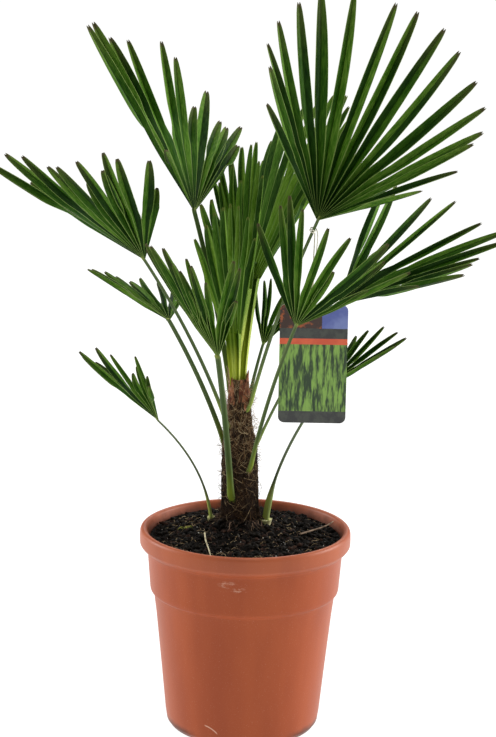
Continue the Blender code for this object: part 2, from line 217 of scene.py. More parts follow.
@dataclass(frozen=True)
class TerracottaPlastic:
    """Satin terracotta plastic with faint flow marks, scuffs and a painted contact shadow at
    its foot.

    Scuffs and the painted shadow patches at the foot are ovals on the front: middle across and
    up, half width, half height. The scrape is part of a ring: middle across and up, and radius.
    """

    light: Colour = (170, 80, 38)
    deep: Colour = (157, 70, 31)
    chalk: Colour = (232, 190, 164)
    # Dark brown: painted contact shadow at the foot, and real dirt on the inner wall.
    shadow_and_dirt: Colour = (52, 36, 28)
    scuffs: tuple[tuple[float, float, float, float], ...] = (
        (-0.0185, 0.201, 0.013, 0.005), (-0.006, 0.195, 0.011, 0.004),
    )
    # Darker patches of painted contact shadow at the foot, left and right.
    foot_shadow_patches: tuple[tuple[float, float, float, float], ...] = (
        (-0.0685, 0.002, 0.008, 0.009), (0.071, 0.0, 0.006, 0.006),
    )
    scrape: tuple[float, float, float] = (-0.047, -0.0015, 0.0265)
    mouth_radius: float = 0.1145
    soil_line: float = 0.229

    def make(self) -> Material:
        """Return the pot's material."""
        g = Graph("terracotta_plastic")
        where = g.place()
        x, y, z = (g.node("SeparateXYZ", {0: where}, axis) for axis in range(3))
        front = g.step(y, 0.0, -0.05)

        def mark(spot: Sequence[float], faint: float, full: float) -> Value:
            """Return a soft oval mark on the pot's front, 0 past faint and 1 within full."""
            side, height, wide, tall = spot
            return g.step(((x - side) / wide) ** 2.0 + ((z - height) / tall) ** 2.0, faint,
                          full)

        flow = g.noise(g.stretch(where, (24, 24, 5)), 1.0, 3.0)
        colour = g.mix(g.step(flow, 0.3, 0.7), self.deep, self.light)
        colour = g.mix(g.step(z, 0.206, 0.222) * 0.06, colour, self.chalk)
        speck = g.step(g.noise(where, 900.0, 2.0), 0.62, 0.74)
        colour = g.mix(speck * 0.12, colour, self.chalk)
        scratch = g.noise(g.stretch(where, (110, 110, 260)), 1.0, 5.0, 0.7)
        worn = g.step(scratch, 0.48, 0.62) * front
        marks = sum(mark(spot, 1.0, 0.15) for spot in self.scuffs) * worn
        across, up, reach = self.scrape
        ring = g.maths("SQRT", (x - across) ** 2.0 + (z - up) ** 2.0)
        arc = (g.step(g.maths("ABSOLUTE", ring - reach), 0.0010, 0.0003) * front
               * g.step(x, -0.043, -0.040) * g.step(x, -0.0265, -0.029))
        colour = g.mix(marks * 0.4, colour, self.chalk)
        colour = g.mix(arc * 0.7, colour, self.chalk)
        blotches = g.noise(where, 70.0, 4.0, 0.65)
        # Painted contact shadow along the lower rounding, on the left and right of the foot.
        foot = (g.step(z + blotches * 0.01, 0.021, 0.012) * (blotches * 0.5 + 0.7)
                * g.step(g.maths("ABSOLUTE", x), 0.046, 0.068))
        for spot in self.foot_shadow_patches:
            foot = g.maths("MAXIMUM", foot, mark(spot, 1.4, 0.3) * front
                           * g.step(blotches, 0.34, 0.5))
        radius = g.maths("SQRT", x * x + y * y)
        inside = (g.step(radius, self.mouth_radius, 0.113) * g.step(z, 0.21, 0.216)
                  * g.step(z + blotches * 0.012, 0.2405, self.soil_line))
        # Lay the painted contact shadow at the foot, then the dirt on the inner wall.
        colour = g.mix(foot * 0.75, colour, self.shadow_and_dirt)
        colour = g.mix(inside * 0.7, colour, self.shadow_and_dirt)
        roughness = 0.36 + flow * 0.12 + marks * 0.2 + inside * 0.3
        grain = g.noise(where, 1400.0, 1.0) + scratch * marks * 1.5 + arc * 0.8
        return g.finish(colour, roughness, grain, 0.00006, Specular_IOR_Level=0.26)


@dataclass(frozen=True)
class Earth:
    """Moist dark matter: peat, bark or a crumb of it."""

    name: str
    dark: Colour
    pale: Colour
    scale: float = 260.0
    rough: float = 0.85
    depth: float = 0.0006

    def make(self) -> Material:
        """Return the material."""
        g = Graph(self.name)
        where = g.place()
        patches = g.noise(where, self.scale * 0.25, 3.0)
        grain = g.noise(where, self.scale, 4.0, 0.65)
        colour = g.mix(g.step(grain * 0.6 + patches * 0.4, 0.38, 0.66), self.dark, self.pale)
        return g.finish(colour, self.rough - grain * 0.25, grain, self.depth,
                        Specular_IOR_Level=0.05)


@dataclass(frozen=True)
class Fibre:
    """Dry plant fibre in one of its tints."""

    name: str
    dark: Colour
    pale: Colour

    def make(self) -> Material:
        """Return the material."""
        g = Graph(self.name)
        where = g.place()
        tint = g.step(g.noise(where, 120.0, 2.0), 0.3, 0.7)
        fine = g.noise(where, 1500.0, 1.0)
        return g.finish(g.mix(tint, self.dark, self.pale), 0.7 + fine * 0.2, fine, 0.0001,
                        Specular_IOR_Level=0.25)


@dataclass(frozen=True)
class LeafSkin:
    """The skin of a leaflet: one plain green, finely streaked along its veins."""

    name: str
    green: Colour
    streak: Colour
    hub: Colour
    tip: Colour
    gloss: float
    hub_reach: float
    aged: Colour
    tip_start: float = 0.985

    def make(self) -> Material:
        """Return the material."""
        g = Graph(self.name)
        streaks = g.noise(g.along((16, 9, 1)), 1.0, 3.0, 0.6)
        cloud = g.noise(g.place(), 24.0, 2.0)
        reach = g.attribute("reach")
        colour = g.mix(g.step(streaks * 0.7 + cloud * 0.3, 0.36, 0.68), self.green, self.streak)
        # Darker towards the hub; on mature leaves the hub green is painted shade where the
        # folds join.
        colour = g.mix(g.step(reach, self.hub_reach, 0.0), colour, self.hub)
        colour = g.mix(g.step(reach + streaks * 0.3, 0.85, 1.25) * 0.4, colour, self.aged)
        worn = g.step(reach + streaks * 0.05 + cloud * 0.04, self.tip_start + 0.02, 1.03)
        colour = g.mix(worn * 0.85, colour, self.tip)
        lines = g.noise(g.along((48, 9, 1)), 1.0, 1.0)
        return g.finish(colour, self.gloss + cloud * 0.12 + worn * 0.3, lines, 0.00012,
                        Specular_IOR_Level=0.07)


@dataclass(frozen=True)
class StalkSkin:
    """The skin of a leaf stalk, shaded from its foot to its hub."""

    name: str
    foot: Colour
    middle: Colour
    hub: Colour
    edge: Colour
    foot_end: float = 0.02
    middle_start: float = 0.3

    def make(self) -> Material:
        """Return the material."""
        g = Graph(self.name)
        reach = g.attribute("reach")
        rim = g.attribute("rim")
        cloud = g.noise(g.place(), 60.0, 3.0)
        lines = g.noise(g.along((22, 6, 1)), 1.0, 2.0)
        colour = g.mix(g.step(reach + cloud * 0.08, self.foot_end, self.middle_start),
                       self.foot, self.middle)
        colour = g.mix(g.step(reach, 0.9, 0.995), colour, self.hub)
        colour = g.mix(g.step(rim, 0.55, 0.95) * 0.55, colour, self.edge)
        colour = g.mix(g.step(lines, 0.5, 0.72) * 0.22, colour, self.edge)
        return g.finish(colour, 0.45 + cloud * 0.15, lines, 0.00015, Specular_IOR_Level=0.16)


@dataclass(frozen=True)
class Card:
    """One printed field of the coated tag, or its plain paper."""

    name: str
    first: Colour
    second: Colour
    scale: float = 90.0
    low: float = 0.4
    high: float = 0.6
    rough: float = 0.3
    lean: tuple[float, float, float] = (1, 1, 1)

    def make(self) -> Material:
        """Return the material."""
        g = Graph(self.name)
        where = g.place()
        tint = g.noise(g.stretch(where, self.lean, (0, 0.6, 0)), self.scale, 3.0, 0.6)
        grain = g.noise(where, 700.0, 2.0)
        colour = g.mix(g.step(tint, self.low, self.high), self.first, self.second)
        return g.finish(colour, self.rough + grain * 0.08, grain, 0.00002)


@dataclass(frozen=True)
class Twine:
    """Pale twisted twine."""

    pale: Colour = (232, 228, 208)
    shade: Colour = (188, 180, 150)

    def make(self) -> Material:
        """Return the material."""
        g = Graph("twine")
        turns = g.node("TexWave", {"Vector": g.along((1, 600, 1)), "Scale": 1.0})
        colour = g.mix(turns, self.shade, self.pale)
        return g.finish(colour, 0.75 + turns * 0.1, turns, 0.0003)


@dataclass(frozen=True)
class Backdrop:
    """The plain pale floor."""

    pale: Colour = (123.563, 123.563, 123.563)

    def make(self) -> Material:
        """Return the material."""
        g = Graph("pale_floor")
        cloud = g.noise(g.place(), 1.5, 2.0)
        return g.finish(self.pale, 0.85 + cloud * 0.05, Specular_IOR_Level=0.1,
                        Emission_Color=(1, 1, 1, 1), Emission_Strength=0.96)


@lru_cache(maxsize=None)
def material_of(finish: object) -> Material:
    """Return a finish's material, made once."""
    return finish.make()


SOIL = Earth("potting_soil", (4, 3, 2), (20, 16, 13))
CRUMB = Earth("soil_crumb", (4, 3, 2), (32, 26, 19), 420.0, 0.6)
MULCH = Earth("bark_chip", (28, 18, 15), (66, 46, 36), 300.0)
PERLITE = Earth("perlite", (205, 200, 190), (245, 242, 236), 900.0, 0.95, 0.0002)
BARK = Earth("trunk_bark", (20, 13, 8), (70, 50, 33), 340.0, 0.95, 0.0012)
FIBRE_DARK = Fibre("fibre_dark", (32, 22, 14), (64, 46, 30))
FIBRE_BROWN = Fibre("fibre_brown", (82, 60, 38), (132, 102, 68))
FIBRE_TAN = Fibre("fibre_tan", (142, 118, 84), (200, 176, 136))
FRAY = Fibre("fray", (168, 128, 104), (214, 184, 160))
ROOT = Fibre("root", (66, 48, 38), (120, 96, 76))
TWIG = Fibre("twig", (92, 74, 58), (150, 128, 106))
CUFF = Fibre("torn_cuff", (120, 122, 66), (214, 208, 160))
STRAW = Fibre("straw", (150, 140, 110), (196, 186, 152))
SHEATH = Fibre("sheath", (96, 48, 32), (158, 104, 72))
SCRAP = Fibre("green_scrap", (112, 118, 34), (158, 160, 70))


# The three greens are middle, lighter and darker: painted light and shade on the leaflets'
# halves.
def leaf_set(name: str, greens: Sequence[tuple[Colour, Colour]], edge: Colour, rib: Colour,
             hub: Colour, tip: Colour, gloss: float, hub_reach: float,
             aged: Colour) -> tuple[LeafSkin, ...]:
    """Return the skins of one kind of leaf: three greens, its folds' ridges and its ribs."""
    skins = [LeafSkin(f"{name}_{i + 1}", green, streak, hub, tip, gloss, hub_reach, aged)
             for i, (green, streak) in enumerate(greens)]
    skins.append(LeafSkin(f"{name}_ridge", edge, edge, edge, tip, gloss, hub_reach, aged))
    skins.append(LeafSkin(f"{name}_rib", rib, rib, rib, tip, gloss, hub_reach, aged))
    return tuple(skins)


# The mature hub green (12, 38, 4) is painted shade in the joined folds round the hub.
MATURE = leaf_set(
    "leaf", (((26, 64, 4), (60, 98, 20)), ((48, 92, 10), (98, 134, 46)),
             ((12, 40, 2), (34, 68, 10))),
    (116, 140, 70), (30, 62, 8), (12, 38, 4), (84, 76, 54), 0.46, 0.34,
    (108, 112, 58))
YOUNG = leaf_set(
    "young_leaf", (((52, 92, 16), (88, 128, 44)), ((80, 122, 22),
                   (126, 160, 64)), ((26, 58, 8), (56, 90, 26))),
    (102, 132, 58), (76, 112, 34), (78, 108, 18), (104, 116, 54),
    0.48, 0.3, (92, 128, 58))
STALK = StalkSkin("leaf_stalk", (132, 152, 50), (64, 84, 40), (134, 146, 62),
                  (108, 126, 80))
SOIL_STALK = StalkSkin("soil_stalk", (156, 170, 78), (62, 78, 46),
                       (128, 138, 62), (116, 130, 86), 0.2, 0.36)
# Three greens of the young strap, paler, middle and darker: painted light and shade on its
# folds.
SHEAF = (
    StalkSkin("sheaf_bright", (196, 208, 96), (116, 146, 44), (76, 112, 24),
              (150, 172, 84), 0.25, 0.85),
    StalkSkin("sheaf_green", (176, 190, 62), (92, 124, 18), (56, 92, 14),
              (120, 146, 44), 0.3, 0.9),
    StalkSkin("sheaf_dark", (134, 150, 32), (52, 84, 12), (32, 62, 8),
              (80, 108, 28), 0.2, 0.8),
)


# Shapes


def grid(body: BMesh, columns: int, rows: int, place: Placer,
         slot: Callable[[float, float], int] | None = None) -> list[BMVert]:
    """Add a grid and carry each vertex to its place.

    Args:
        body: Mesh that it is added to.
        columns: Cells across.
        rows: Cells along.
        place: Gives the place of (u, v), each 0 to 1 across and along.
        slot: Gives the material slot of a face from the (u, v) of its middle.

    Returns:
        The new vertices.
    """
    made = bmesh.ops.create_grid(body, x_segments=columns, y_segments=rows, size=0.5)["verts"]
    spots = {vertex: (vertex.co.x + 0.5, vertex.co.y + 0.5) for vertex in made}
    coordinates = body.loops.layers.uv.verify()
    faces = dict.fromkeys(face for vertex in made for face in vertex.link_faces)
    for face in faces:
        corners = [spots[loop.vert] for loop in face.loops]
        for loop, corner in zip(face.loops, corners):
            loop[coordinates].uv = corner
        face.smooth = True
        if slot:
            middle = [sum(part) / len(corners) for part in zip(*corners)]
            face.material_index = slot(*middle)
    for vertex, spot in spots.items():
        vertex.co = place(*spot)
    return made


def unrolled(turn: float, v: float) -> Vector:
    """Leave a tube's vertex at its (turn, v), to be placed later."""
    return Vector((turn, v, 0))


def tube(sides: int, rows: int, place: Placer = unrolled) -> BMesh:
    """Make a capped tube and carry each vertex to its place.

    Args:
        sides: Faces round it.
        rows: Faces along it.
        place: Gives the place of (turn, v), the share of a full turn and of the length.

    Returns:
        The tube's mesh.
    """
    body = bmesh.new()
    made = bmesh.ops.create_cone(body, cap_ends=True, segments=sides, radius1=1, radius2=1,
                                 depth=1)["verts"]
    uprights = list(dict.fromkeys(
        edge for vertex in made for edge in vertex.link_edges
        if abs(edge.verts[0].co.z - edge.verts[1].co.z) > 0.5))
    if rows > 1:
        bmesh.ops.subdivide_edges(body, edges=uprights, cuts=rows - 1)
    coordinates = body.loops.layers.uv.new("leaf")
    spots = {}
    for vertex in body.verts:
        turn = atan2(vertex.co.y, vertex.co.x) / TURN % 1.0
        spots[vertex] = (turn, vertex.co.z + 0.5)
    for face in body.faces:
        turns = [spots[loop.vert][0] for loop in face.loops]
        wraps = max(turns) - min(turns) > 0.5
        for loop, turn in zip(face.loops, turns):
            loop[coordinates].uv = (turn + (wraps and turn < 0.5), spots[loop.vert][1])
        face.smooth = len(face.verts) == 4
    for vertex, spot in spots.items():
        vertex.co = place(*spot)
    return body


def settle(name: str, body: BMesh, finishes: Iterable[object],
           replaces: Sequence[str] = (), crease: float = 35.0) -> Object:
    """Turn a bmesh into a finished piece that rides with the palm.

    Args:
        name: Name of the piece.
        body: Its mesh, which is used up.
        finishes: A finish for each material slot.
        replaces: CAD nodes that it stands for.
        crease: Angle in degrees past which an edge is sharp.

    Returns:
        The piece.
    """
    mesh = mesh_of(name, body)
    mesh.set_sharp_from_angle(angle=radians(crease))
    return enlist(name, mesh, finishes, replaces)


def mesh_of(name: str, body: BMesh) -> Mesh:
    """Turn a bmesh, which is used up, into a mesh."""
    mesh = bpy.data.meshes.new(name)
    body.to_mesh(mesh)
    body.free()
    return mesh


def link(name: str, data: ID) -> Object:
    """Add an object with this data to the scene."""
    thing = bpy.data.objects.new(name, data)
    bpy.context.scene.collection.objects.link(thing)
    return thing


def enlist(name: str, mesh: Mesh, finishes: Iterable[object],
           replaces: Sequence[str] = ()) -> Object:
    """Link a mesh as a piece of the palm, dress it and let it ride on the root body."""
    for finish in finishes:
        mesh.materials.append(material_of(finish))
    thing = link(name, mesh)
    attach(thing, "root")
    if replaces:
        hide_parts(*replaces)
    log.info("%s: %d faces", name, len(mesh.polygons))
    return thing


def joined(name: str, body: BMesh, places: np.ndarray, kinds: Sequence[int],
           finishes: Iterable[object]) -> Object:
    """Join many copies of one small shape into a piece, through arrays.

    Args:
        name: Name of the piece.
        body: The small shape, which is used up.
        places: Place of each of its vertices in each copy, as (copy, vertex, axis).
        kinds: Material slot of each copy.
        finishes: A finish for each slot.

    Returns:
        The piece.
    """
    pattern = [[vertex.index for vertex in face.verts] for face in body.faces]
    count = len(body.verts)
    body.free()
    faces = [[corner + count * i for corner in face] for i in range(len(places))
             for face in pattern]
    mesh = bpy.data.meshes.new(name)
    mesh.from_pydata(places.reshape(-1, 3).tolist(), [], faces)
    mesh.polygons.foreach_set("material_index", np.repeat(kinds, len(pattern)))
    mesh.shade_smooth()
    return enlist(name, mesh, finishes)


@dataclass
class Bundle:
    """Thin tapering strands, gathered one by one and then joined into one piece."""

    routes: list[Sequence[Vector]] = field(default_factory=list)
    radii: list[Sequence[float]] = field(default_factory=list)
    kinds: list[int] = field(default_factory=list)

    def add(self, route: Sequence[Vector], radii: Sequence[float], kind: int = 0) -> None:
        """Add a strand by its points, its radius at each and its material slot."""
        self.routes.append(route)
        self.radii.append(radii)
        self.kinds.append(kind)

    def tie(self, name: str, finishes: Iterable[object], sides: int = 4) -> Object:
        """Join the strands into a piece.

        Args:
            name: Name of the piece.
            finishes: A finish for each material slot.
            sides: Faces round a strand.

        Returns:
            The piece.
        """
        routes, radii = np.array(self.routes), np.array(self.radii)
        rows = routes.shape[1] - 1
        body = tube(sides, rows)
        body.verts.index_update()
        spots = np.array([vertex.co[:2] for vertex in body.verts])
        ring = np.rint(spots[:, 1] * rows).astype(int)
        angle = spots[:, 0] * TURN
        ahead = np.gradient(routes, axis=1)
        ahead /= np.linalg.norm(ahead, axis=2, keepdims=True) + 1e-12
        side = np.cross(ahead, (0.31, 0.17, 0.94))
        side /= np.linalg.norm(side, axis=2, keepdims=True) + 1e-12
        up = np.cross(side, ahead)
        thick = radii[:, ring, None]
        places = (routes[:, ring] + side[:, ring] * np.cos(angle)[None, :, None] * thick
                  + up[:, ring] * np.sin(angle)[None, :, None] * thick)
        return joined(name, body, places, self.kinds, finishes)


def punch(piece: Object, radius: float, holes: Iterable[Matrix]) -> None:
    """Punch round holes through a piece.

    Args:
        piece: The piece.
        radius: Radius of a hole.
        holes: Place of each hole, whose axis is the local Z.
    """
    body = bmesh.new()
    for hole in holes:
        bmesh.ops.create_cone(body, cap_ends=True, segments=24, radius1=radius,
                              radius2=radius, depth=20 * MM, matrix=hole)
    cutter = link("punch", mesh_of("punch", body))
    cut = piece.modifiers.new("holes", "BOOLEAN")
    cut.operation, cut.object, cut.solver = "DIFFERENCE", cutter, "EXACT"
    view = bpy.context.evaluated_depsgraph_get()
    mesh = bpy.data.meshes.new_from_object(piece.evaluated_get(view),
                                           preserve_all_data_layers=True, depsgraph=view)
    piece.modifiers.clear()
    piece.data = mesh
    bpy.data.objects.remove(cutter, do_unlink=True)


def level_way(angle: float) -> Vector:
    """Return the level unit vector at an angle from +X towards +Y."""
    return Vector((cos(angle), sin(angle), 0))


# The pot and what it holds


@dataclass
class Pot:
    """The nursery pot: a rolled lip, a deep rim band, a stepped wall and a drained floor."""

    sides: int = 144
    drains: int = 8
    drain_radius: float = 4.5 * MM
    drain_circle: float = 62 * MM
    edge_round: float = 0.9 * MM
    outside: tuple[tuple[float, float], ...] = (
        (77.5, 0), (83, 2), (87, 7.5), (88.8, 19.4), (94.3, 75), (100.5, 135), (103.3, 157),
        (104.2, 160.2), (107.2, 162.6), (107.9, 165.5), (108.4, 172), (111, 205.5),
        (112, 210), (118, 214.5), (120, 217.5), (120.2, 224), (120, 231), (118.8, 233.8),
        (116.4, 235), (113.6, 234.4),
    )
    inside: tuple[tuple[float, float], ...] = (
        (112, 232.5), (109.6, 222), (108.2, 205), (105, 170), (100.7, 158), (86, 19.4),
        (78.5, 6), (73.5, 4),
    )

    def build(self) -> None:
        """Spin the profile, round its corners and punch the floor."""
        body = bmesh.new()
        profile = [(0.0, 0.0), *self.outside, *self.inside, (0.0, self.inside[-1][1])]
        points = [body.verts.new((r * MM, 0, z * MM)) for r, z in profile]
        edges = [body.edges.new(pair) for pair in zip(points, points[1:])]
        bmesh.ops.spin(body, geom=points + edges, cent=(0, 0, 0), axis=(0, 0, 1),
                       angle=TURN, steps=self.sides, use_merge=True)
        bmesh.ops.remove_doubles(body, verts=body.verts, dist=0.01 * MM)
        bmesh.ops.recalc_face_normals(body, faces=body.faces)
        self._round_edges(body)
        for face in body.faces:
            face.smooth = True
        shell = settle("pot_shell", body, [TerracottaPlastic()], ["pot"], 50)
        angles = (TURN * (hole + 0.5) / self.drains for hole in range(self.drains))
        punch(shell, self.drain_radius,
              [Matrix.Translation(level_way(angle) * self.drain_circle) for angle in angles])

    def _round_edges(self, body: BMesh) -> None:
        """Bevel the rings where the wall turns by more than a few degrees."""
        def level(edge: BMEdge) -> bool:
            """Tell whether an edge lies in a ring round the pot."""
            a, b = (vertex.co for vertex in edge.verts)
            return abs(a.z - b.z) < 1e-6 and abs(a.xy.length - b.xy.length) < 1e-6

        rings = [edge for edge in body.edges if len(edge.link_faces) == 2 and level(edge)
                 and edge.calc_face_angle(0.0) > radians(9)]
        bmesh.ops.bevel(body, geom=rings, offset=self.edge_round, segments=3, profile=0.5,
                        affect="EDGES", material=-1, clamp_overlap=True)


TRUNK_FOOT = Vector((-6.5, 30, 232)) * MM
TRUNK_TIP = Vector((-10, 30, 400)) * MM
TRUNK_HEIGHT = 168 * MM
TRUNK_GIRTH = ((0, 24.5), (7, 22.3), (20, 20.8), (50, 20.2), (88, 19.4), (104, 16.6),
               (116, 13.8), (130, 12.9), (146, 12.0), (160, 10.6), (168, 9.6))


@dataclass
class SoilBed:
    """The crumbly potting soil, mounded round the trunk, and what lies on it."""

    edge_radius: float = 108.2 * MM
    edge_height: float = 223.5 * MM
    mound_height: float = 231.7 * MM
    mound_radius: float = 46 * MM
    hump_height: float = 6 * MM
    hump_reach: float = 20 * MM
    rough_height: float = 2.2 * MM
    lump_height: float = 1.7 * MM
    trunk_clear: float = 22 * MM
    root_start: float = 21 * MM
    cells: int = 150
    crumbs: int = 2600
    grains: int = 150
    threads: int = 620
    roots: int = 70
    chips: int = 110
    lower_wall: tuple[tuple[float, float], ...] = ((105.0, 200.0), (97.5, 138.0),
                                                   (85.2, 19.4), (71.5, 4.6))

    def level(self, x: float, y: float) -> float:
        """Return the height of the soil, with its lumps, at a place in plan."""
        away = (Vector((x, y)) - TRUNK_FOOT.xy).length
        rim = hypot(x, y) / self.edge_radius
        share = min(max((away - self.mound_radius * 0.5) / (self.edge_radius * 0.75), 0), 1)
        base = self.mound_height + (self.edge_height - self.mound_height) * ease(share)
        hump = self.hump_height * ease(2 - away / self.hump_reach)
        at = Vector((x, y, 0))
        rough = noise.fractal(at * 90, 0.8, 2.1, 4) * self.rough_height
        lumps = (0.55 - noise.voronoi(at * 260)[0][0]) * self.lump_height
        return base + hump + (rough + lumps) * (1 - 0.6 * ease((rim - 0.9) / 0.1))

    def build(self) -> None:
        """Build the bed and scatter the crumbs, grains, threads and chips on it."""
        body = bmesh.new()
        grid(body, self.cells, self.cells, self._disc)
        rim = [edge for edge in body.edges if edge.is_boundary]
        for radius, height in self.lower_wall:
            made = bmesh.ops.extrude_edge_only(body, edges=rim)["geom"]
            rim = [item for item in made if isinstance(item, BMEdge) and item.is_boundary]
            for vertex in {vertex for edge in rim for vertex in edge.verts}:
                flat = vertex.co.xy.normalized() * radius * MM
                vertex.co = (flat.x, flat.y, height * MM)
        bmesh.ops.holes_fill(body, edges=rim)
        bmesh.ops.recalc_face_normals(body, faces=body.faces)
        settle("soil_bed", body, [SOIL], ["soil"], 60)
        dice = Random(7)
        self._scatter("soil_crumbs", self.crumbs, (0.8, 4.2), (CRUMB, SOIL, MULCH),
                      (6, 3, 1), dice, 0.75)
        self._scatter("perlite_grains", self.grains, (0.35, 1.15), (PERLITE,), (1,), dice, 0.85)
        self._scatter("bark_chips", self.chips, (1.6, 4.2), (MULCH, FIBRE_DARK), (2, 1), dice,
                      0.35)
        self._threads(dice)
        self._litter(dice)

    def _disc(self, u: float, v: float) -> Vector:
        """Carry a point of the unit square to the disc of soil."""
        x, y = 2 * u - 1, 2 * v - 1
        flat = Vector((x * sqrt(1 - y * y / 2), y * sqrt(1 - x * x / 2)))
        flat *= self.edge_radius
        return Vector((flat.x, flat.y, self.level(flat.x, flat.y)))

    def _spot(self, dice: Random, inset: float = 3 * MM) -> Vector:
        """Return a random place on the soil that is clear of the trunk."""
        while True:
            radius = (self.edge_radius - inset) * sqrt(dice.random())
            spot = level_way(dice.uniform(0, TURN)) * radius
            if (spot.xy - TRUNK_FOOT.xy).length > self.trunk_clear:
                spot.z = self.level(spot.x, spot.y)
                return spot

    def _scatter(self, name: str, count: int, sizes: tuple[float, float],
                 finishes: Sequence[object], odds: Sequence[int], dice: Random,
                 flat: float) -> None:
        """Scatter small lumps of some finishes over the soil, by their odds."""
        lump = bmesh.new()
        bmesh.ops.create_icosphere(lump, subdivisions=1, radius=1)
        lump.verts.index_update()
        shape = np.array([vertex.co for vertex in lump.verts])
        places, kinds = [], []
        for _ in range(count):
            low, high = sizes
            size = (low + (high - low) * dice.random() ** 2.2) * MM
            spot = self._spot(dice)
            spread = np.array([[dice.uniform(0.7, 1.25)] for _ in range(len(shape))])
            stretch = np.array([dice.uniform(0.7, 1.4), dice.uniform(0.6, 1.1), flat])
            turn = Matrix.Rotation(dice.uniform(0, 6.3), 3, "Z") @ Matrix.Rotation(
                dice.uniform(-0.6, 0.6), 3, "X")
            local = shape * spread * stretch * size @ np.array(turn).T
            places.append(local + np.array(spot) + np.array([0, 0, size * flat * 0.25]))
            kinds.append(dice.choices(range(len(finishes)), odds)[0])
        joined(name, lump, np.array(places), kinds, finishes)

    def _lying(self, start: Vector, heading: float, length: float, curl: float, lift: float,
               dice: Random) -> list[Vector]:
        """Return a route of 7 points that lies on the soil, a little lifted and curled."""
        route, at, points = [], start.copy(), 7
        for i in range(points):
            share = i / (points - 1)
            height = self.level(at.x, at.y) + lift * sin(pi * share)
            route.append(Vector((at.x, at.y, height)))
            heading += dice.uniform(-curl, curl)
            at += level_way(heading) * length / (points - 1)
            if at.xy.length > self.edge_radius - 2 * MM:
                at.xy = at.xy.normalized() * (self.edge_radius - 2 * MM)
        return route

    def _threads(self, dice: Random) -> None:
        """Lay fine peat threads and thin roots over the soil."""
        threads = Bundle()
        for _ in range(self.threads):
            start, length = self._spot(dice, 8 * MM), dice.uniform(5, 17) * MM
            threads.add(self._lying(start, dice.uniform(0, 6.3), length, 0.7,
                                    dice.uniform(0.3, 2.2) * MM, dice),
                        [dice.uniform(0.1, 0.24) * MM] * 7,
                        dice.choices((0, 1, 2), (3, 2, 2))[0])
        for _ in range(self.roots):
            angle = dice.uniform(0, TURN)
            threads.add(self._lying(TRUNK_FOOT + level_way(angle) * self.root_start,
                                    angle + dice.uniform(-0.5, 0.5),
                                    dice.uniform(10, 24) * MM, 0.5, 2 * MM, dice),
                        np.linspace(dice.uniform(0.5, 0.9), 0.3, 7) * MM,
                        dice.choices((0, 1), (2, 1))[0])
        threads.tie("peat_threads", (FIBRE_DARK, ROOT, FIBRE_TAN))

    def _litter(self, dice: Random) -> None:
        """Lay the pale straw, the dry twig and the green scrap that show in front."""
        for name, thick, finish, route in (
                ("dry_straw", 1.0, STRAW, ((-46, -20, 233), (-44.5, -40, 231),
                                           (-41, -62, 228.5), (-38, -82, 226),
                                           (-36, -96, 225.5))),
                ("dry_twig", 1.25, TWIG, ((62, -6, 229.5), (74, 5, 230), (86, 15, 231),
                                          (95, 23, 232.5), (101, 30, 234.5)))):
            knots = [Vector(knot) * MM for knot in route]
            stick = Bundle()
            stick.add([smooth_route(knots, i / 15) for i in range(16)],
                      np.linspace(thick, thick * 0.5, 16) * MM)
            stick.tie(name, [finish], 6)
        scrap = Bundle()
        for _ in range(9):
            start = Vector((-68 + dice.uniform(-4, 4), 12 + dice.uniform(-4, 4), 0)) * MM
            scrap.add(self._lying(start, dice.uniform(0, 6.3), dice.uniform(5, 9) * MM, 0.5,
                                  3 * MM, dice),
                      [r * MM for r in (0.2, 0.5, 0.6, 0.6, 0.5, 0.3, 0.15)])
        scrap.tie("green_scrap", [SCRAP], 5)


def smooth_route(points: Sequence[Vector], share: float) -> Vector:
    """Return the place at a share of a smooth curve through points."""
    last = len(points) - 1
    at = min(int(share * last), last - 1)
    t = share * last - at
    before, after = points[max(at - 1, 0)], points[min(at + 2, last)]
    p, q = points[at], points[at + 1]
    return 0.5 * (2 * p + (q - before) * t + (2 * before - 5 * p + 4 * q - after) * t * t
                  + (3 * p - before - 3 * q + after) * t ** 3)


# The trunk


EIGHT_POINTS = [i / 7 for i in range(8)]


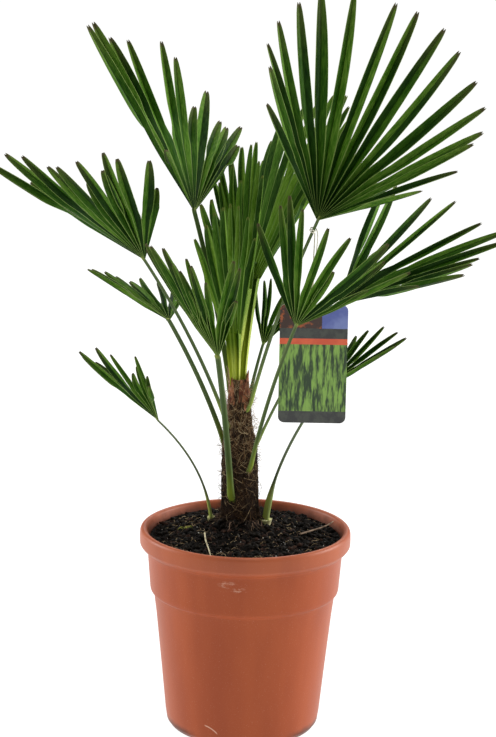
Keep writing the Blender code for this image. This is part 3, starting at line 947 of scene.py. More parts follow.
@dataclass
class Trunk:
    """The short trunk, wrapped in matted leaf-sheath fibre."""

    sides: int = 96
    rows: int = 130
    fibres: int = 2300
    hairs: int = 620
    frayed: int = 46
    sheath: float = 0.5 * MM
    matted: float = 1.7 * MM
    sheath_rings: int = 9
    sheath_edge: float = 1.4 * MM
    under_fibre: float = 2.4 * MM

    def skin(self, turn: float, share: float, out: float = 0.0) -> Vector:
        """Return a place on the trunk, lifted off its skin."""
        radius = along_table(min(max(share, 0), 1) * TRUNK_GIRTH[-1][0], TRUNK_GIRTH) * MM
        return TRUNK_FOOT.lerp(TRUNK_TIP, share) + level_way(TURN * turn) * (radius + out)

    def build(self) -> None:
        """Build the core with its relief, and the strands over it."""
        def relief(turn: float, v: float) -> Vector:
            """Return a place on the core's rough skin."""
            at = self.skin(turn, v)
            scale = Vector((at.x * 150, at.y * 150, at.z * 60))
            rough = noise.fractal(scale, 0.9, 2.0, 4) * self.matted
            wound = (v * self.sheath_rings + turn * 2.0) % 1
            steps = (0.5 - abs(wound - 0.5)) * self.sheath_edge
            return self.skin(turn, v, rough + steps - self.under_fibre)

        body = tube(self.sides, self.rows, relief)
        settle("trunk_core", body, [BARK], ["trunk"], 70)
        dice = Random(11)
        self._mat(dice)
        self._hair(dice)
        self._fray(dice)
        self._flaps()

    def _mat(self, dice: Random) -> None:
        """Wrap the trunk in crossing fibres that follow its skin."""
        mat = Bundle()
        for _ in range(self.fibres):
            turn, start = dice.random(), dice.uniform(-0.04, 0.97)
            steep = dice.choice((-1, 1)) * abs(dice.gauss(0.10, 0.09))
            rise = dice.uniform(0.04, 0.2)
            out, wave = dice.uniform(-1.2, 0.7) * MM, dice.uniform(0, 6.3)
            route = []
            for s in EIGHT_POINTS:
                share = start + rise * s + 0.012 * sin(wave + 5 * s)
                ripple = 0.7 * MM * sin(wave + 9 * s)
                route.append(self.skin(turn + steep * s, min(share, 1.01), out + ripple))
            thick, high = dice.uniform(0.16, 0.42) * MM, max(start, 0.0)
            odds = (8 - 6 * high, 0.3 + 4.7 * high, 0.1 + 0.8 * high)
            mat.add(route, [thick * k for k in (0.5, 0.9, 1, 1, 1, 0.9, 0.7, 0.3)],
                    dice.choices((0, 1, 2), odds)[0])
        mat.tie("trunk_fibres", (FIBRE_DARK, FIBRE_BROWN, FIBRE_TAN))

    def _hair(self, dice: Random) -> None:
        """Let loose curly hairs stand off the trunk, longest round its top."""
        hair = Bundle()
        points = 9
        for _ in range(self.hairs):
            turn, start = dice.random(), dice.uniform(0.0, 0.98)
            reach = dice.uniform(2, 7) * (1.5 if start > 0.5 else 1) * MM
            climb, swing = dice.uniform(-0.05, 0.10), dice.uniform(-0.12, 0.12)
            curl, wave = dice.uniform(0.5, 2.2) * MM, dice.uniform(0, 6.3)
            route = []
            for i in range(points):
                s = i / (points - 1)
                arc = sin(pi * min(s * dice.uniform(0.98, 1.02), 1) * 0.8)
                at = self.skin(turn + swing * s, min(start + climb * s, 1.04), reach * arc)
                route.append(at + Vector((sin(wave + 8 * s), cos(wave + 8 * s),
                                          sin(wave + 5 * s))) * curl * s)
            thick = dice.uniform(0.1, 0.22) * MM
            odds = (max(2.6 - 5 * start, 0), 1.6 - start, 0.1 + 1.9 * start)
            hair.add(route, [thick * (1 - 0.6 * i / points) for i in range(points)],
                     dice.choices((0, 1, 2), odds)[0])
        hair.tie("trunk_hairs", (FIBRE_DARK, FIBRE_BROWN, FIBRE_TAN))

    def _fray(self, dice: Random) -> None:
        """Stand frayed pale strands up along the left of the trunk's top."""
        fray = Bundle()
        for _ in range(self.frayed):
            turn, start = dice.gauss(0.5, 0.06), dice.uniform(0.62, 0.95)
            rise, lean = dice.uniform(0.08, 0.24), dice.uniform(0.5, 6.0) * MM
            wave = dice.uniform(0, 6.3)
            route = []
            for s in EIGHT_POINTS:
                share = start + rise * s
                at = self.skin(turn + 0.02 * sin(wave + 4 * s), min(share, 0.99),
                               lean * s - 0.5 * MM) + UP * max(share - 0.99, 0) * TRUNK_HEIGHT
                route.append(at + Vector((sin(wave + 6 * s), cos(wave + 7 * s), 0))
                             * 0.8 * MM * s)
            thick = dice.uniform(0.22, 0.45) * MM
            fray.add(route, [thick * (1 - 0.7 * i / 8) for i in range(8)])
        fray.tie("trunk_fray", (FRAY,))

    def _flaps(self) -> None:
        """Wrap torn papery sheaths round the top of the trunk."""
        body = bmesh.new()
        for turn, width, low, high, out in (
                (0.95, 0.26, 0.80, 1.05, 0.2), (0.82, 0.16, 0.86, 1.0, 0.5),
                (0.60, 0.16, 0.84, 1.01, 0.4), (0.46, 0.18, 0.8, 1.03, 0.3),
                (0.3, 0.2, 0.78, 1.04, 0.2), (0.12, 0.18, 0.82, 1.03, 0.4)):
            def sheet(u: float, v: float) -> Vector:
                """Return a place on a torn sheath, across and along it."""
                torn = 0.07 * noise.noise(Vector((u * 11, turn * 7, 0)))
                narrow = 1 - 0.45 * v ** 2
                share = low + (high - low + torn) * v
                ripple = noise.noise(Vector((u * 7, v * 5, turn * 20))) * 0.9 * MM
                place = self.skin(turn + (u - 0.5) * width * narrow, min(share, 1.0),
                                  (out + 0.8 * v * v) * MM + ripple)
                return place + UP * max(share - 1.0, 0.0) * TRUNK_HEIGHT
            grid(body, 14, 18, sheet)
        flaps = settle("trunk_sheaths", body, [SHEATH], (), 60)
        wall = flaps.modifiers.new("thickness", "SOLIDIFY")
        wall.thickness, wall.offset = self.sheath, 0


# The fronds


class Seat(Enum):
    """Where a leaf stalk stands, and how far along its span in plan it bends upward."""

    SIDE = 0.36
    SOIL = 0.1
    TIP = 0.3


@dataclass
class Frond:
    """A leaf: its stalk from foot to hub, and the pleated fan of its leaflets.

    Foot and hub are in millimetres. A guide is a compass angle in degrees from +X
    towards +Y, a rise above the level in degrees, and a length in millimetres. The
    guides are spaced evenly across the fan. Each leaflet has its place across the fan in
    thousandths, and its length in hundredths of the guides' own. The girth is the stalk's
    half width at its foot and hub. The strap of a young leaf reaches so far left and
    right of the stalk's line, at its foot and at the hub. All girths and straps are in
    millimetres. Turned is how far the free leaflets turn to the front.
    """

    name: str
    foot: tuple[float, float, float]
    hub: tuple[float, float, float]
    guides: tuple[tuple[float, float, float], ...]
    leaflets: tuple[tuple[int, int], ...]
    girth: tuple[float, float] = (3.1, 2.2)
    seat: Seat = Seat.SIDE
    seed: int = 1
    split: float = 0.33
    widest: float = 18.5 * MM
    strap: tuple[tuple[float, float], tuple[float, float]] = ((0, 0), (0, 0))
    turned: float = 0.35
    columns: tuple[float, ...] = (-1, -0.93, -0.62, -0.33, -0.09, 0, 0.09, 0.33, 0.62, 0.93, 1)
    thickness: float = 0.55 * MM
    sway: float = 2.0 * MM
    nod: float = 2.5 * MM
    notch: float = 3.5 * MM
    spine: float = 0.16 * MM
    sunk: float = 5 * MM
    joint_rows: int = 14
    free_rows: int = 24
    width_profile: tuple[tuple[float, float], ...] = (
        (0, 0.9), (0.12, 0.97), (0.3, 1.0), (0.5, 0.97), (0.7, 0.86), (0.84, 0.70),
        (0.93, 0.53), (0.975, 0.39), (1.0, 0.2))

    def __post_init__(self) -> None:
        """Work out the fan's directions, seams and splits."""
        self.origin = Vector(self.hub) * MM
        self.young = self.seat is Seat.TIP
        opening = (0.6, 1.0) if self.young else (0.35, 0.8)
        self._aim_leaflets()
        ways, count = self.ways, len(self.leaflets)
        seams = [ways[0] * 1.5 - ways[1] * 0.5]
        seams += [(a + b) / 2 for a, b in zip(ways, ways[1:])]
        seams += [ways[-1] * 1.5 - ways[-2] * 0.5]
        self.seams = [seam.normalized() for seam in seams]
        dice = Random(self.seed)
        shorter = [min(a, b) for a, b in zip([self.lengths[0], *self.lengths],
                                             [*self.lengths, self.lengths[-1]])]
        usual = sum(self.lengths) / count
        self.joint = self.split * usual
        self.side = self.widest / 2 * min(1.1, (usual / (225 * MM)) ** 0.8)
        self.splits = [(self.split + dice.uniform(-0.06, 0.1)) * (length + usual) / 2
                       for length in shorter]
        self.facing = sum((b - a for a, b in zip(ways, ways[1:])), Vector()).cross(
            ways[count // 2])
        self.aim = sum(ways, Vector()).normalized()
        self.seam_normals, self.seam_gaps = [], []
        for k, seam in enumerate(self.seams):
            across = self.seams[min(k + 1, count)] - self.seams[max(k - 1, 0)]
            self.seam_normals.append(self._towards_face(across.cross(seam)))
            self.seam_gaps.append(across.length / (min(k + 1, count) - max(k - 1, 0)))
        self.leftward = 1 if ways[0].x < ways[-1].x else -1
        self.sways = [(dice.uniform(-1, 1), dice.uniform(-1, 1), dice.uniform(0.86, 1.08),
                       dice.uniform(*opening)) for _ in range(count)]
        # Two different greens for each leaflet's halves: painted light and shade on its fold.
        self.lit_and_shaded_halves = [dice.choice(((0, 1), (1, 0), (2, 1), (1, 2), (2, 0), (0, 2), (2, 1)))
                       for _ in range(count)]

    def _aim_leaflets(self) -> None:
        """Work out each leaflet's way out of the hub, its length and where its tip ends."""
        places = [place / 1000 for place, _ in self.leaflets]
        first, last, steps = places[0], places[-1], len(places) - 1
        evens = [first + (last - first) * i / steps for i in range(len(places))]
        self.ways = [self._ray((even + place) / 2)[0] for even, place in zip(evens, places)]
        self.tips, self.lengths = [], []
        for place, (_, percent) in zip(places, self.leaflets):
            way, length = self._ray(place)
            self.tips.append(self.origin + way * length * (percent / 100))
            self.lengths.append(length * (percent / 100))

    def _ray(self, t: float) -> tuple[Vector, float]:
        """Return the way and length at a place in the fan, by a polynomial through guides."""
        knots = [k / (len(self.guides) - 1) for k in range(len(self.guides))]
        way, reach = Vector(), 0.0
        for k, (compass, rise, length) in enumerate(self.guides):
            weight = prod((t - knot) / (knots[k] - knot)
                               for m, knot in enumerate(knots) if m != k)
            way += weight * (level_way(radians(compass)) * cos(radians(rise))
                             + UP * sin(radians(rise)))
            reach += weight * length * MM
        return way.normalized(), reach

    def _towards_face(self, normal: Vector) -> Vector:
        """Return a unit normal on the side that the fan faces."""
        unit = normal.normalized()
        return unit if unit.dot(self.facing) > 0 else -unit

    def _pleat(self, gap: float, reach: float) -> float:
        """Return how deep the folds are where their leaflets are this far apart."""
        side = self.side * min(1.0, reach / self.joint)
        flat = gap * reach / 2
        return sqrt(max(side * side - flat * flat, (0.42 * flat) ** 2))

    def _shift(self, place: float, reach: float) -> Vector:
        """Return how far a young leaf's place, 0 to 1 over its fan, is drawn over its strap."""
        left, right = self.strap[1]
        share = place if self.leftward > 0 else 1 - place
        fade = max(1 - reach / max(self.lengths), 0.0) ** 1.3
        return Vector(((share * (left + right) - left) * MM * fade, 0, 0))

    def seam_place(self, seam: int, reach: float) -> Vector:
        """Return a place on the ridge between two leaflets, at a distance from the hub."""
        lift = self._pleat(self.seam_gaps[seam], reach) / 2
        return (self.origin + self.seams[seam] * reach + self.seam_normals[seam] * lift
                + self._shift(seam / len(self.leaflets), reach))

    def _leaflet(self, body: BMesh, index: int) -> None:
        """Add one V-folded leaflet, joined to its neighbours up to its splits."""
        way, length, tip = self.ways[index], self.lengths[index], self.tips[index]
        across = self.seams[index + 1] - self.seams[index]
        normal = self._towards_face(across.cross(way))
        tangent = (across - way * across.dot(way)).normalized()
        gap = across.length
        start = min((self.splits[index] + self.splits[index + 1]) / 2, length * 0.6)
        sway, nod, slim, fold_out = self.sways[index]
        astray = tip - self.origin - way * length
        front = (Vector((0, -1, 0)) + way * way.y).normalized()
        front = front if front.dot(normal) > 0 else -front
        widest = self.side * slim * (length / max(self.lengths)) ** 0.3
        flat_start, deep_start = gap * start / 2, self._pleat(gap, start)
        fold_start = atan2(deep_start, flat_start)
        side_start = hypot(flat_start, deep_start)
        step = self.joint * 1.25 / self.joint_rows
        joined_to = min(max(self.splits[index], self.splits[index + 1]), length * 0.75)
        reaches = [2 * MM] + [step * k for k in range(1, int(joined_to / step) + 1)
                              if step * k > 3 * MM]
        last = reaches[-1]
        reaches += [last + (length - last) * (1 - (1 - k / self.free_rows) ** 1.25)
                    for k in range(1, self.free_rows + 1)]
        rows = len(reaches) - 1
        columns = len(self.columns) - 1

        def section(reach: float) -> tuple[float, float]:
            """Return the half width and the depth of the fold at a distance."""
            t = (reach - start) / (length - start)
            if t <= 0:
                return gap * reach / 2, self._pleat(gap, reach)
            part = ease(t / 0.3)
            free = widest * along_table(t, self.width_profile)
            side = side_start + (free - side_start) * ease(t / 0.16)
            fold = fold_start + (fold_out - fold_start) * part
            return side * cos(fold), side * sin(fold)

        def place(u: float, v: float) -> Vector:
            """Return a place on the leaflet, across and along it."""
            reach = reaches[round(v * rows)]
            side = self.columns[round(u * columns)]
            half, deep = section(reach)
            t = max((reach - start) / (length - start), 0.0)
            up = normal.lerp(front, self.turned * ease(t / 0.4)).normalized()
            aside = (tangent - up * tangent.dot(up)).normalized()
            bend = (tangent * sway * self.sway * sin(pi * t)
                    + normal * nod * self.nod * t * t + astray * t ** 1.3)
            notch = 0.0
            if v > 0.999:
                notch = min(self.notch, length * 0.03) * (1 - abs(side)) ** 1.5
            middle = (self.origin + way * (reach - notch) + bend
                      + self._shift((index + 0.5) / len(self.leaflets), reach))
            rib = middle - up * deep / 2
            k = index + (side > 0)
            free = middle + aside * copysign(half, side) + up * deep / 2
            blend = ease((reach - self.splits[k]) / (0.1 * length))
            edge = self.seam_place(k, reach).lerp(free, blend)
            part = abs(side)
            bulge = up * half * 0.10 * sin(pi * part)
            spine = up * (self.spine if part < 0.05 else 0) * min(reach / (20 * MM), 1)
            return rib.lerp(edge, part) + bulge + spine

        def slot(u: float, v: float) -> int:
            """Return the slot of a face: the ridge's, the rib's, or its half's green, painted
            lit or shaded.
            """
            cell = min(int(u * columns), columns - 1)
            if cell in (0, columns - 1):
                return 3
            if cell in (columns // 2 - 1, columns // 2):
                return 4
            # Painted light and shade: each half of the fold takes its own green.
            return self.lit_and_shaded_halves[index][u > 0.5]

        made = grid(body, columns, rows, place, slot)
        layer = body.verts.layers.float["reach"]
        for vertex in made:
            vertex[layer] = (vertex.co - self.origin).length / length
        coordinates = body.loops.layers.uv.verify()
        for face in dict.fromkeys(face for vertex in made for face in vertex.link_faces):
            if face.normal.dot(normal) < 0:
                face.normal_flip()
            for loop in face.loops:
                u, v = loop[coordinates].uv
                loop[coordinates].uv = (u + index * 1.7, v * length * 10)

    def build_blade(self) -> None:
        """Build the fan of leaflets."""
        body = bmesh.new()
        body.loops.layers.uv.new("leaf")
        body.verts.layers.float.new("reach")
        for index in range(len(self.leaflets)):
            self._leaflet(body, index)
        bmesh.ops.remove_doubles(body, verts=body.verts, dist=0.002 * MM)
        bmesh.ops.recalc_face_normals(body, faces=body.faces)
        blade = settle(f"leaflets_{self.name}", body, YOUNG if self.young else MATURE,
                       [f"blade_{self.name}"], 30)
        wall = blade.modifiers.new("thickness", "SOLIDIFY")
        wall.thickness, wall.offset = self.thickness, 0

    def stalk_place(self, t: float) -> Vector:
        """Return a place on the stalk's centre line, a quadratic curve from foot to hub."""
        foot = Vector(self.foot) * MM
        span = self.origin - foot
        bend = self.seat.value
        knee = foot + Vector((span.x * bend, span.y * bend, span.z * 0.5))
        return (1 - t) ** 2 * foot + 2 * t * (1 - t) * knee + t * t * self.origin

    def build_stalk(self) -> None:
        """Build the stalk: rounded below, channelled above, with a small crest at the hub."""
        if self.young:
            self._build_sheaf()
            return
        rows, sides = 46, 14
        points = [self.stalk_place(i / (rows - 4)) for i in range(rows - 3)]
        points += [self.origin + self.aim * past * MM for past in (1.6, 3.2, 4.6, 5.6)]
        if self.seat is not Seat.SOIL:
            inward = (TRUNK_FOOT.xy - points[0].xy).to_3d()
            points[0] += inward.normalized() * 4 * MM - UP * self.sunk
        side = self.aim.cross(UP)
        frames = []
        for i, point in enumerate(points):
            ahead = (points[min(i + 1, rows)] - points[max(i - 1, 0)]).normalized()
            across = (side - ahead * side.dot(ahead)).normalized()
            frames.append((point, across, across.cross(ahead)))
        plump, thick = (1.15, 1.15) if self.seat is Seat.SIDE else (1.35, 1.3)
        crest = {rows - 3: 1.03, rows - 2: 1.06, rows - 1: 0.9, rows: 0.5}

        def place(turn: float, v: float) -> Vector:
            """Return a place on the stalk, round and along it."""
            ring = round(v * rows)
            point, across, up = frames[ring]
            share = ring / rows
            slimmer = ease((share - 0.12) / 0.22) if self.seat is Seat.SOIL else share ** 0.6
            radius = (self.girth[0] + (self.girth[1] - self.girth[0]) * slimmer) * MM
            radius *= crest.get(ring, 1.0)
            wide = radius * plump * (1 + 0.22 * (1 - ease(share / 0.1)))
            c, s = cos(TURN * turn), sin(TURN * turn)
            tall = s * 0.75 if s < 0 else s * (0.5 - 0.42 * (1 - abs(c)) ** 1.4)
            return point + across * c * wide + up * tall * radius * thick

        body = tube(sides, rows)
        skin = STALK if self.seat is Seat.SIDE else SOIL_STALK
        self._settle_stalk(body, place, [skin], 50)

    def _settle_stalk(self, body: BMesh, place: Placer, finishes: Iterable[object],
                      crease: float) -> None:
        """Carry a stalk's tube from (turn, v) to its place, mark it and settle it."""
        reach = body.verts.layers.float.new("reach")
        rim = body.verts.layers.float.new("rim")
        for vertex in body.verts:
            turn, v = vertex.co.xy
            vertex[reach] = v
            vertex[rim] = 0.0 if self.young else abs(cos(TURN * turn))
            vertex.co = place(turn, v)
        bmesh.ops.recalc_face_normals(body, faces=body.faces)
        settle(f"petiole_{self.name}", body, finishes, [f"stalk_{self.name}"], crease)

    def _build_sheaf(self) -> None:
        """Build a young leaf's stalk: a strap of folded leaflets that are still together."""
        rows, folds = 40, 7
        cells = folds * 2
        dice = Random(self.seed * 3)
        # Each fold takes the paler, middle or darker green at random: painted light and shade
        # on the strap's strips.
        tones = [0, *(dice.choice((0, 1, 1, 2)) for _ in range(folds - 2)), 1]
        depths = [dice.uniform(0.7, 1.3) for _ in range(folds + 1)]
        past, past_hub = 0.12, 22 * MM
        top = self.origin + self.aim * past_hub

        def place(turn: float, v: float) -> Vector:
            """Return a place on the strap, round and along it."""
            t = v * (1 + past)
            middle = self.stalk_place(t) if t < 1 else self.origin.lerp(top, (t - 1) / past)
            if v == 0:
                middle = middle - UP * self.sunk
            part = turn * 2 if turn < 0.5 else 2 - turn * 2
            face = 1 if turn < 0.5 else -1
            edge = round(part * cells) / 2
            grow = min(t, 1.0)
            foot, head = self.strap
            left, right = (a + (b - a) * grow for a, b in zip(foot, head))
            narrow = 1 - 0.35 * ease((t - 1) / past)
            x = (right - (left + right) * part) * MM * narrow
            zigzag = (1 if round(edge) % 2 else -1) * (edge == round(edge))
            deep = (0.9 + 1.5 * grow) * depths[min(int(edge), folds)] * zigzag
            skin = 0.0 if part in (0.0, 1.0) else 0.55
            return middle + Vector((x, (deep + face * skin) * -MM, 0))

        body = tube(cells * 2, rows)
        for face in body.faces:
            turn = face.calc_center_median().x % 1.0
            across = turn * 2 if turn < 0.5 else 2 - turn * 2
            face.material_index = tones[min(int(across * folds), folds - 1)]
        self._settle_stalk(body, place, SHEAF, 20)

    def build_cuff(self) -> None:
        """Wrap the torn pale rest of an old sheath round the stalk's foot."""
        foot = Vector(self.foot) * MM
        lean = (self.stalk_place(0.08) - foot).normalized()
        across = lean.cross(UP).normalized()
        up = across.cross(lean)
        dice = Random(self.seed)
        rag = [dice.uniform(-1, 1) for _ in range(12)]

        def place(turn: float, v: float) -> Vector:
            """Return a place on the cuff, round and up it."""
            angle = TURN * turn
            high = (-3 + 8.5 * v + 2.2 * v * rag[int(turn * 12) % 12]) * MM
            wide = self.girth[0] * (1.65 + 0.45 * v) * MM
            return (foot + lean * high + across * cos(angle) * wide
                    + up * sin(angle) * wide * 0.85)

        body = tube(24, 5, place)
        settle(f"cuff_{self.name}", body, [CUFF], (), 60)

    def build(self) -> None:
        """Build the stalk and the fan."""
        self.build_stalk()
        self.build_blade()
        if self.seat is Seat.SOIL:
            self.build_cuff()


def fronds() -> list[Frond]:
    """Return every leaf, by the same sizes as the solids have."""
    young = partial(Frond, seat=Seat.TIP, split=0.55, widest=19 * MM)
    return [
        Frond("big_right", (2, 21, 371), (73, -10, 592),
              ((-131, 57, 157), (66, 82, 252), (8, 44, 238), (-43, 20, 159)),
              ((-20, 115), (104, 92), (124, 100), (176, 101), (248, 100), (304, 101),
               (372, 99), (456, 99), (500, 100), (560, 101), (612, 99), (692, 99), (764, 101),
               (832, 102), (864, 100), (948, 106), (1020, 109)),
              girth=(3.3, 2.6), seed=21, widest=17 * MM),
        Frond("tall_left", (-19, 34, 382), (-64, 50, 589),
              ((-153, 68, 132), (156, 59, 235), (102, 46, 212), (81, 24, 196), (61, 30, 103)),
              ((50, 45), (172, 105), (224, 103), (268, 94), (332, 94), (464, 108), (516, 107),
               (580, 80), (644, 106), (736, 97), (780, 100), (856, 114), (924, 97)),
              seed=22, split=0.46, turned=0.6),
        Frond("wide_left", (-23, 24, 350), (-116, -30, 548),
              ((152, 34, 123), (177, 32, 202), (-145, 43, 172), (-114, 48, 165), (-67, 65, 96)),
              ((80, 90), (168, 100), (232, 101), (368, 104), (424, 103), (492, 96), (540, 98),
               (612, 80), (648, 103), (752, 93), (784, 109), (828, 101), (948, 108),
               (1000, 98)),
              seed=23, split=0.46, turned=0.6),
        Frond("back_left", (-24, 36, 318), (-91, 50, 463),
              ((164, 28, 121), (140, 20, 118), (114, 15, 113), (80, 18, 132)),
              ((0, 93), (140, 90), (300, 106), (410, 104), (500, 100), (600, 93), (700, 98),
               (810, 81), (920, 63), (1030, 40)),
              seed=24, turned=0.6),
        Frond("low_left", (-39, 30, 232), (-99, -30, 366),
              ((142, 46, 51), (165, 37, 110), (-168, 46, 102), (-134, 59, 84), (-104, 50, 62)),
              ((180, 95), (240, 104), (300, 100), (360, 107), (560, 117), (632, 110),
               (708, 80), (800, 100), (824, 121), (880, 90), (992, 100)),
              girth=(2.4, 1.6), seat=Seat.SOIL, seed=25, split=0.42, turned=0.7),
        Frond("front_left", (-17, 12, 266), (-33, -88, 452),
              ((-164, 57, 161), (-134, 58, 144), (-107, 60, 128), (-66, 49, 137)),
              ((30, 93), (100, 101), (160, 102), (280, 104), (320, 92), (400, 89), (550, 108),
               (580, 102), (680, 84), (890, 114), (930, 111), (960, 73)),
              girth=(3.7, 3), seed=26),
        Frond("front_right", (4, 14, 300), (50, -90, 489),
              ((-179, 65, 66), (-103, 74, 148), (-47, 56, 137), (-14, 36, 141), (12, 22, 97)),
              ((64, 113), (208, 98), (244, 105), (304, 99), (420, 95), (516, 98), (544, 62),
               (656, 106), (712, 90), (852, 64), (872, 101)),
              seed=27),
        Frond("back_right", (10, 33, 322), (101, 60, 483),
              ((51, 58, 116), (44, 36, 181), (6, 27, 200), (-36, 20, 172), (-67, 22, 98)),
              ((30, 130), (120, 115), (256, 102), (320, 104), (452, 96), (540, 106),
               (592, 105), (652, 94), (700, 97), (796, 118), (860, 100), (970, 90)),
              seed=28, split=0.36, widest=14.5 * MM, turned=0.7),
        Frond("small_back", (0, 44, 366), (16, 90, 427),
              ((104, 48, 39), (86, 62, 80), (44, 55, 65), (20, 42, 58)),
              ((132, 104), (304, 100), (400, 103), (616, 94), (768, 109), (900, 90),
               (1000, 80)),
              girth=(2.4, 1.6), seed=29),
        Frond("low_right", (22, 24, 232), (90, 70, 383),
              ((67, 31, 70), (40, 41, 91), (6, 34, 109), (-22, 38, 58)),
              ((0, 100), (100, 95), (200, 100), (320, 99), (428, 102), (572, 98), (692, 101),
               (800, 95), (900, 90)),
              girth=(4.2, 1.7), seat=Seat.SOIL, seed=30, turned=0.6),
        young("young_front", (-12, 24.5, 400), (-15, 12, 456),
              ((152, 63, 117), (145, 80, 145), (-77, 82, 148), (-46, 67, 89)),
              ((4, 100), (140, 99), (280, 99), (384, 98), (508, 99), (616, 100), (740, 100),
               (864, 99)),
              seed=31, strap=((8.5, 3), (12, 6))),
        young("young_centre", (-15, 33, 400), (-4, 35, 503),
              ((171, 61, 118), (145, 74, 128), (-16, 88, 158), (-68, 72, 74)),
              ((50, 95), (200, 95), (320, 99), (452, 99), (528, 82), (636, 105), (736, 97),
               (880, 110)),
              seed=32, strap=((6.5, 4), (25, 6.5))),
        young("young_right", (-5, 30, 400), (9, 60, 510),
              ((69, 34, 170), (82, 52, 178), (24, 64, 226), (-34, 58, 112)),
              ((50, 80), (150, 85), (252, 100), (308, 108), (396, 104), (440, 106),
               (504, 103), (564, 102), (620, 102), (680, 103), (736, 100), (784, 98),
               (840, 83), (988, 101)),
              seed=33, strap=((8, 2.6), (19, 2))),
        young("young_back", (-10, 38, 400), (-4, 110, 500),
              ((125, 50, 110), (105, 58, 160), (75, 58, 165), (55, 50, 115)),
              ((0, 100), (110, 100), (220, 103), (330, 98), (440, 100), (560, 103), (670, 97),
               (780, 102), (890, 100), (1000, 100)),
              seed=34, strap=((6, 6), (13, 9))),
    ]


# The tag and its string


@dataclass
class HangTag:
    """The coated card tag: plain unlettered colour fields, and a punched hole.

    A band has its lower edge as a share of the height from the middle, and its slot. The
    top band is divided in two at a share of the width.
    """

    width: float = 76 * MM
    height: float = 136 * MM
    thickness: float = 0.9 * MM
    corner: float = 7 * MM
    middle: Vector = field(default_factory=lambda: Vector((72.2, -8, 429)) * MM)
    hole: Vector = field(default_factory=lambda: Vector((68.5, -8, 491)) * MM)
    hole_radius: float = 2.5 * MM
    bands: tuple[tuple[float, int], ...] = ((0.30, 1), (0.215, 4), (0.165, 3), (-0.40, 5))
    divide: float = 0.12

    def build(self) -> None:
        """Build the card and deal out its colour fields."""
        body = bmesh.new()
        card = bmesh.ops.create_cube(body, size=1)["verts"]
        bmesh.ops.scale(body, verts=card, vec=(self.width, self.thickness, self.height))
        posts = [edge for edge in body.edges
                 if abs(edge.verts[0].co.y - edge.verts[1].co.y) > self.thickness / 2]
        bmesh.ops.bevel(body, geom=posts, offset=self.corner, segments=8, profile=0.5,
                        affect="EDGES", material=-1)
        cuts = [(UP * low * self.height, UP) for low, _ in self.bands]
        cuts.append((Vector((self.divide * self.width, 0, 0)), Vector((1, 0, 0))))
        for spot, way in cuts:
            bmesh.ops.bisect_plane(body, geom=body.verts[:] + body.edges[:] + body.faces[:],
                                   plane_co=spot, plane_no=way, dist=1e-7)
        for face in body.faces:
            face.material_index = self._field(face)
        bmesh.ops.translate(body, verts=body.verts, vec=self.middle)
        finishes = [
            Card("card_paper", (236, 234, 226), (246, 244, 238), 60),
            Card("card_violet", (84, 98, 168), (118, 132, 190), 30),
            Card("card_brown", (58, 34, 22), (170, 84, 30), 110, 0.5, 0.66),
            Card("card_orange", (214, 84, 48), (226, 96, 56), 40),
            Card("card_dark", (48, 50, 48), (66, 70, 62), 90),
            Card("card_green", (28, 58, 18), (134, 176, 74), 300, 0.38, 0.62, 0.3,
                 (1, 1, 0.16)),
        ]
        card = settle("tag_card", body, finishes, ["hang_tag"], 30)
        turn = Matrix.Translation(self.hole) @ Matrix.Rotation(pi / 2, 4, "X")
        punch(card, self.hole_radius, [turn])

    def _field(self, face: BMFace) -> int:
        """Return the material slot of a face by its place on the card."""
        if abs(face.normal.y) < 0.9 or face.normal.y > 0:
            return 0
        spot = face.calc_center_median()
        x, z = spot.x / self.width, spot.z / self.height
        for low, slot in self.bands:
            if z > low:
                return 2 if slot == 1 and x < self.divide else slot
        return 4


@dataclass
class TagString:
    """The loop of twine, wound twice round a stalk and passed through the tag's hole."""

    carrier: Frond
    tag: HangTag
    radius: float = 0.6 * MM
    wraps: int = 2
    pitch: float = 2.4 * MM
    height: float = 0.95
    clear: float = 0.3 * MM

    def route(self) -> list[Vector]:
        """Return the closed route of the string."""
        frond = self.carrier
        middle = frond.stalk_place(self.height)
        along = (frond.stalk_place(1) - frond.stalk_place(self.height - 0.05)).normalized()
        right = (Vector((1, 0, 0)) - along * along.x).normalized()
        back = along.cross(right)
        radius = frond.girth[1] * MM + self.radius + self.clear
        wraps = []
        for i in range(8 * self.wraps + 1):
            angle = TURN * i / 8
            height = along * self.pitch * (i / 8 - self.wraps / 2)
            wraps.append(middle + height - back * radius * sin(angle)
                         + right * radius * cos(angle))
        hole = self.tag.hole
        front, rise = Vector((0, -2 * MM, 0)), UP * 4 * MM
        down = [hole - front + rise, hole + UP * 0.5 * MM, hole + front + rise]
        outward = right * 2.4 * MM - back * 0.5 * MM
        fall_front = [down[2].lerp(wraps[0], share) for share in (0.3, 0.6, 0.85)]
        fall_back = [(wraps[-1] + outward).lerp(down[0], share) for share in (0.06, 0.3, 0.7)]
        return fall_front + wraps + fall_back + down

    def build(self) -> None:
        """Build the string as a curve of round section, turned into a mesh."""
        route = self.route()
        curve = bpy.data.curves.new("tag_twine", "CURVE")
        curve.dimensions = "3D"
        spline = curve.splines.new("NURBS")
        spline.points.add(len(route) - 1)
        for point, place in zip(spline.points, route):
            point.co = (*place, 1)
        spline.use_cyclic_u, spline.order_u, spline.resolution_u = True, 3, 5
        curve.bevel_depth, curve.bevel_resolution = self.radius, 2
        shape = link("tag_twine_curve", curve)
        mesh = bpy.data.meshes.new_from_object(
            shape.evaluated_get(bpy.context.evaluated_depsgraph_get()))
        bpy.data.objects.remove(shape, do_unlink=True)
        mesh.name = "tag_twine"
        if mesh.uv_layers:
            mesh.uv_layers[0].name = "leaf"
        mesh.shade_smooth()
        enlist("tag_twine", mesh, [Twine()], ["tag_string"])


# The studio


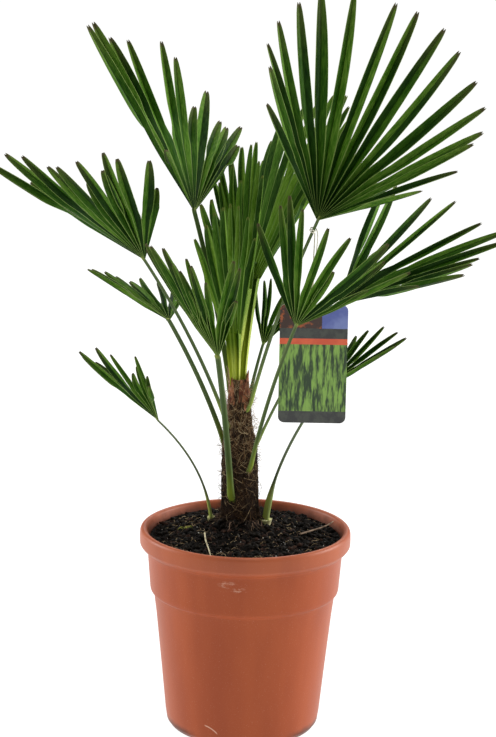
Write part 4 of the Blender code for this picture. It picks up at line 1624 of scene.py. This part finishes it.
@dataclass
class Studio:
    """The plain pale floor, the soft lights and the camera."""

    eye: tuple[float, float, float] = (-0.000378, -2.679078, 1.048966)
    tilt: float = 13.2
    roll: float = 1.06
    lens: float = 119.674
    aim: Vector = field(default_factory=lambda: Vector((0, 0, 0.4)))
    surround: float = 0.3

    def build(self) -> None:
        """Build the floor, the lights and the camera."""
        self._floor()
        self._lights()
        self._camera()

    def _floor(self) -> None:
        """Lay the floor."""
        body = bmesh.new()
        bmesh.ops.create_grid(body, x_segments=8, y_segments=8, size=30)
        mesh = mesh_of("floor", body)
        mesh.materials.append(material_of(Backdrop()))
        link("floor", mesh)

    def _lights(self) -> None:
        """Hang the soft lights and set the surrounding light."""
        for name, spot, size, power in (("left", (-2.35, 0.75, 1.2), 1.5, 52),
                                        ("right", (2.35, 0.6, 1.2), 1.5, 68),
                                        ("top", (0.1, -0.6, 3.0), 2.0, 30),
                                        ("back", (0.4, 2.4, 2.2), 2.0, 22)):
            light = bpy.data.lights.new(name, "AREA")
            light.shape, light.size, light.energy = "DISK", size, power
            lamp = link(name, light)
            lamp.location = spot
            lamp.rotation_euler = (self.aim - lamp.location).to_track_quat(
                "-Z", "Y").to_euler()
        world = bpy.data.worlds.new("studio")
        world.use_nodes = True
        background = world.node_tree.nodes["Background"]
        background.inputs["Color"].default_value = (1, 1, 1, 1)
        background.inputs["Strength"].default_value = self.surround
        bpy.context.scene.world = world
        bpy.context.scene.view_settings.view_transform = "Standard"

    def _camera(self) -> None:
        """Stand the camera where the photograph was taken."""
        tilt, roll = radians(self.tilt), radians(self.roll)
        level, upright = Vector((1, 0, 0)), Vector((0, sin(tilt), cos(tilt)))
        right = level * cos(roll) + upright * sin(roll)
        up = upright * cos(roll) - level * sin(roll)
        back = Vector((0, -cos(tilt), sin(tilt)))
        turn = Matrix((right, up, back)).transposed().to_4x4()
        lens = bpy.data.cameras.new("camera")
        lens.lens, lens.sensor_width, lens.clip_end = self.lens, 36, 100
        camera = link("camera", lens)
        camera.matrix_world = Matrix.Translation(self.eye) @ turn
        bpy.context.scene.camera = camera


def main() -> None:
    """Build the palm and its studio."""
    logging.basicConfig(level=logging.INFO, format="%(name)s %(message)s")
    Studio().build()
    Pot().build()
    SoilBed().build()
    Trunk().build()
    leaves = fronds()
    for frond in leaves:
        frond.build()
    tag = HangTag()
    tag.build()
    TagString(leaves[0], tag).build()


if __name__ == "__main__":
    main()
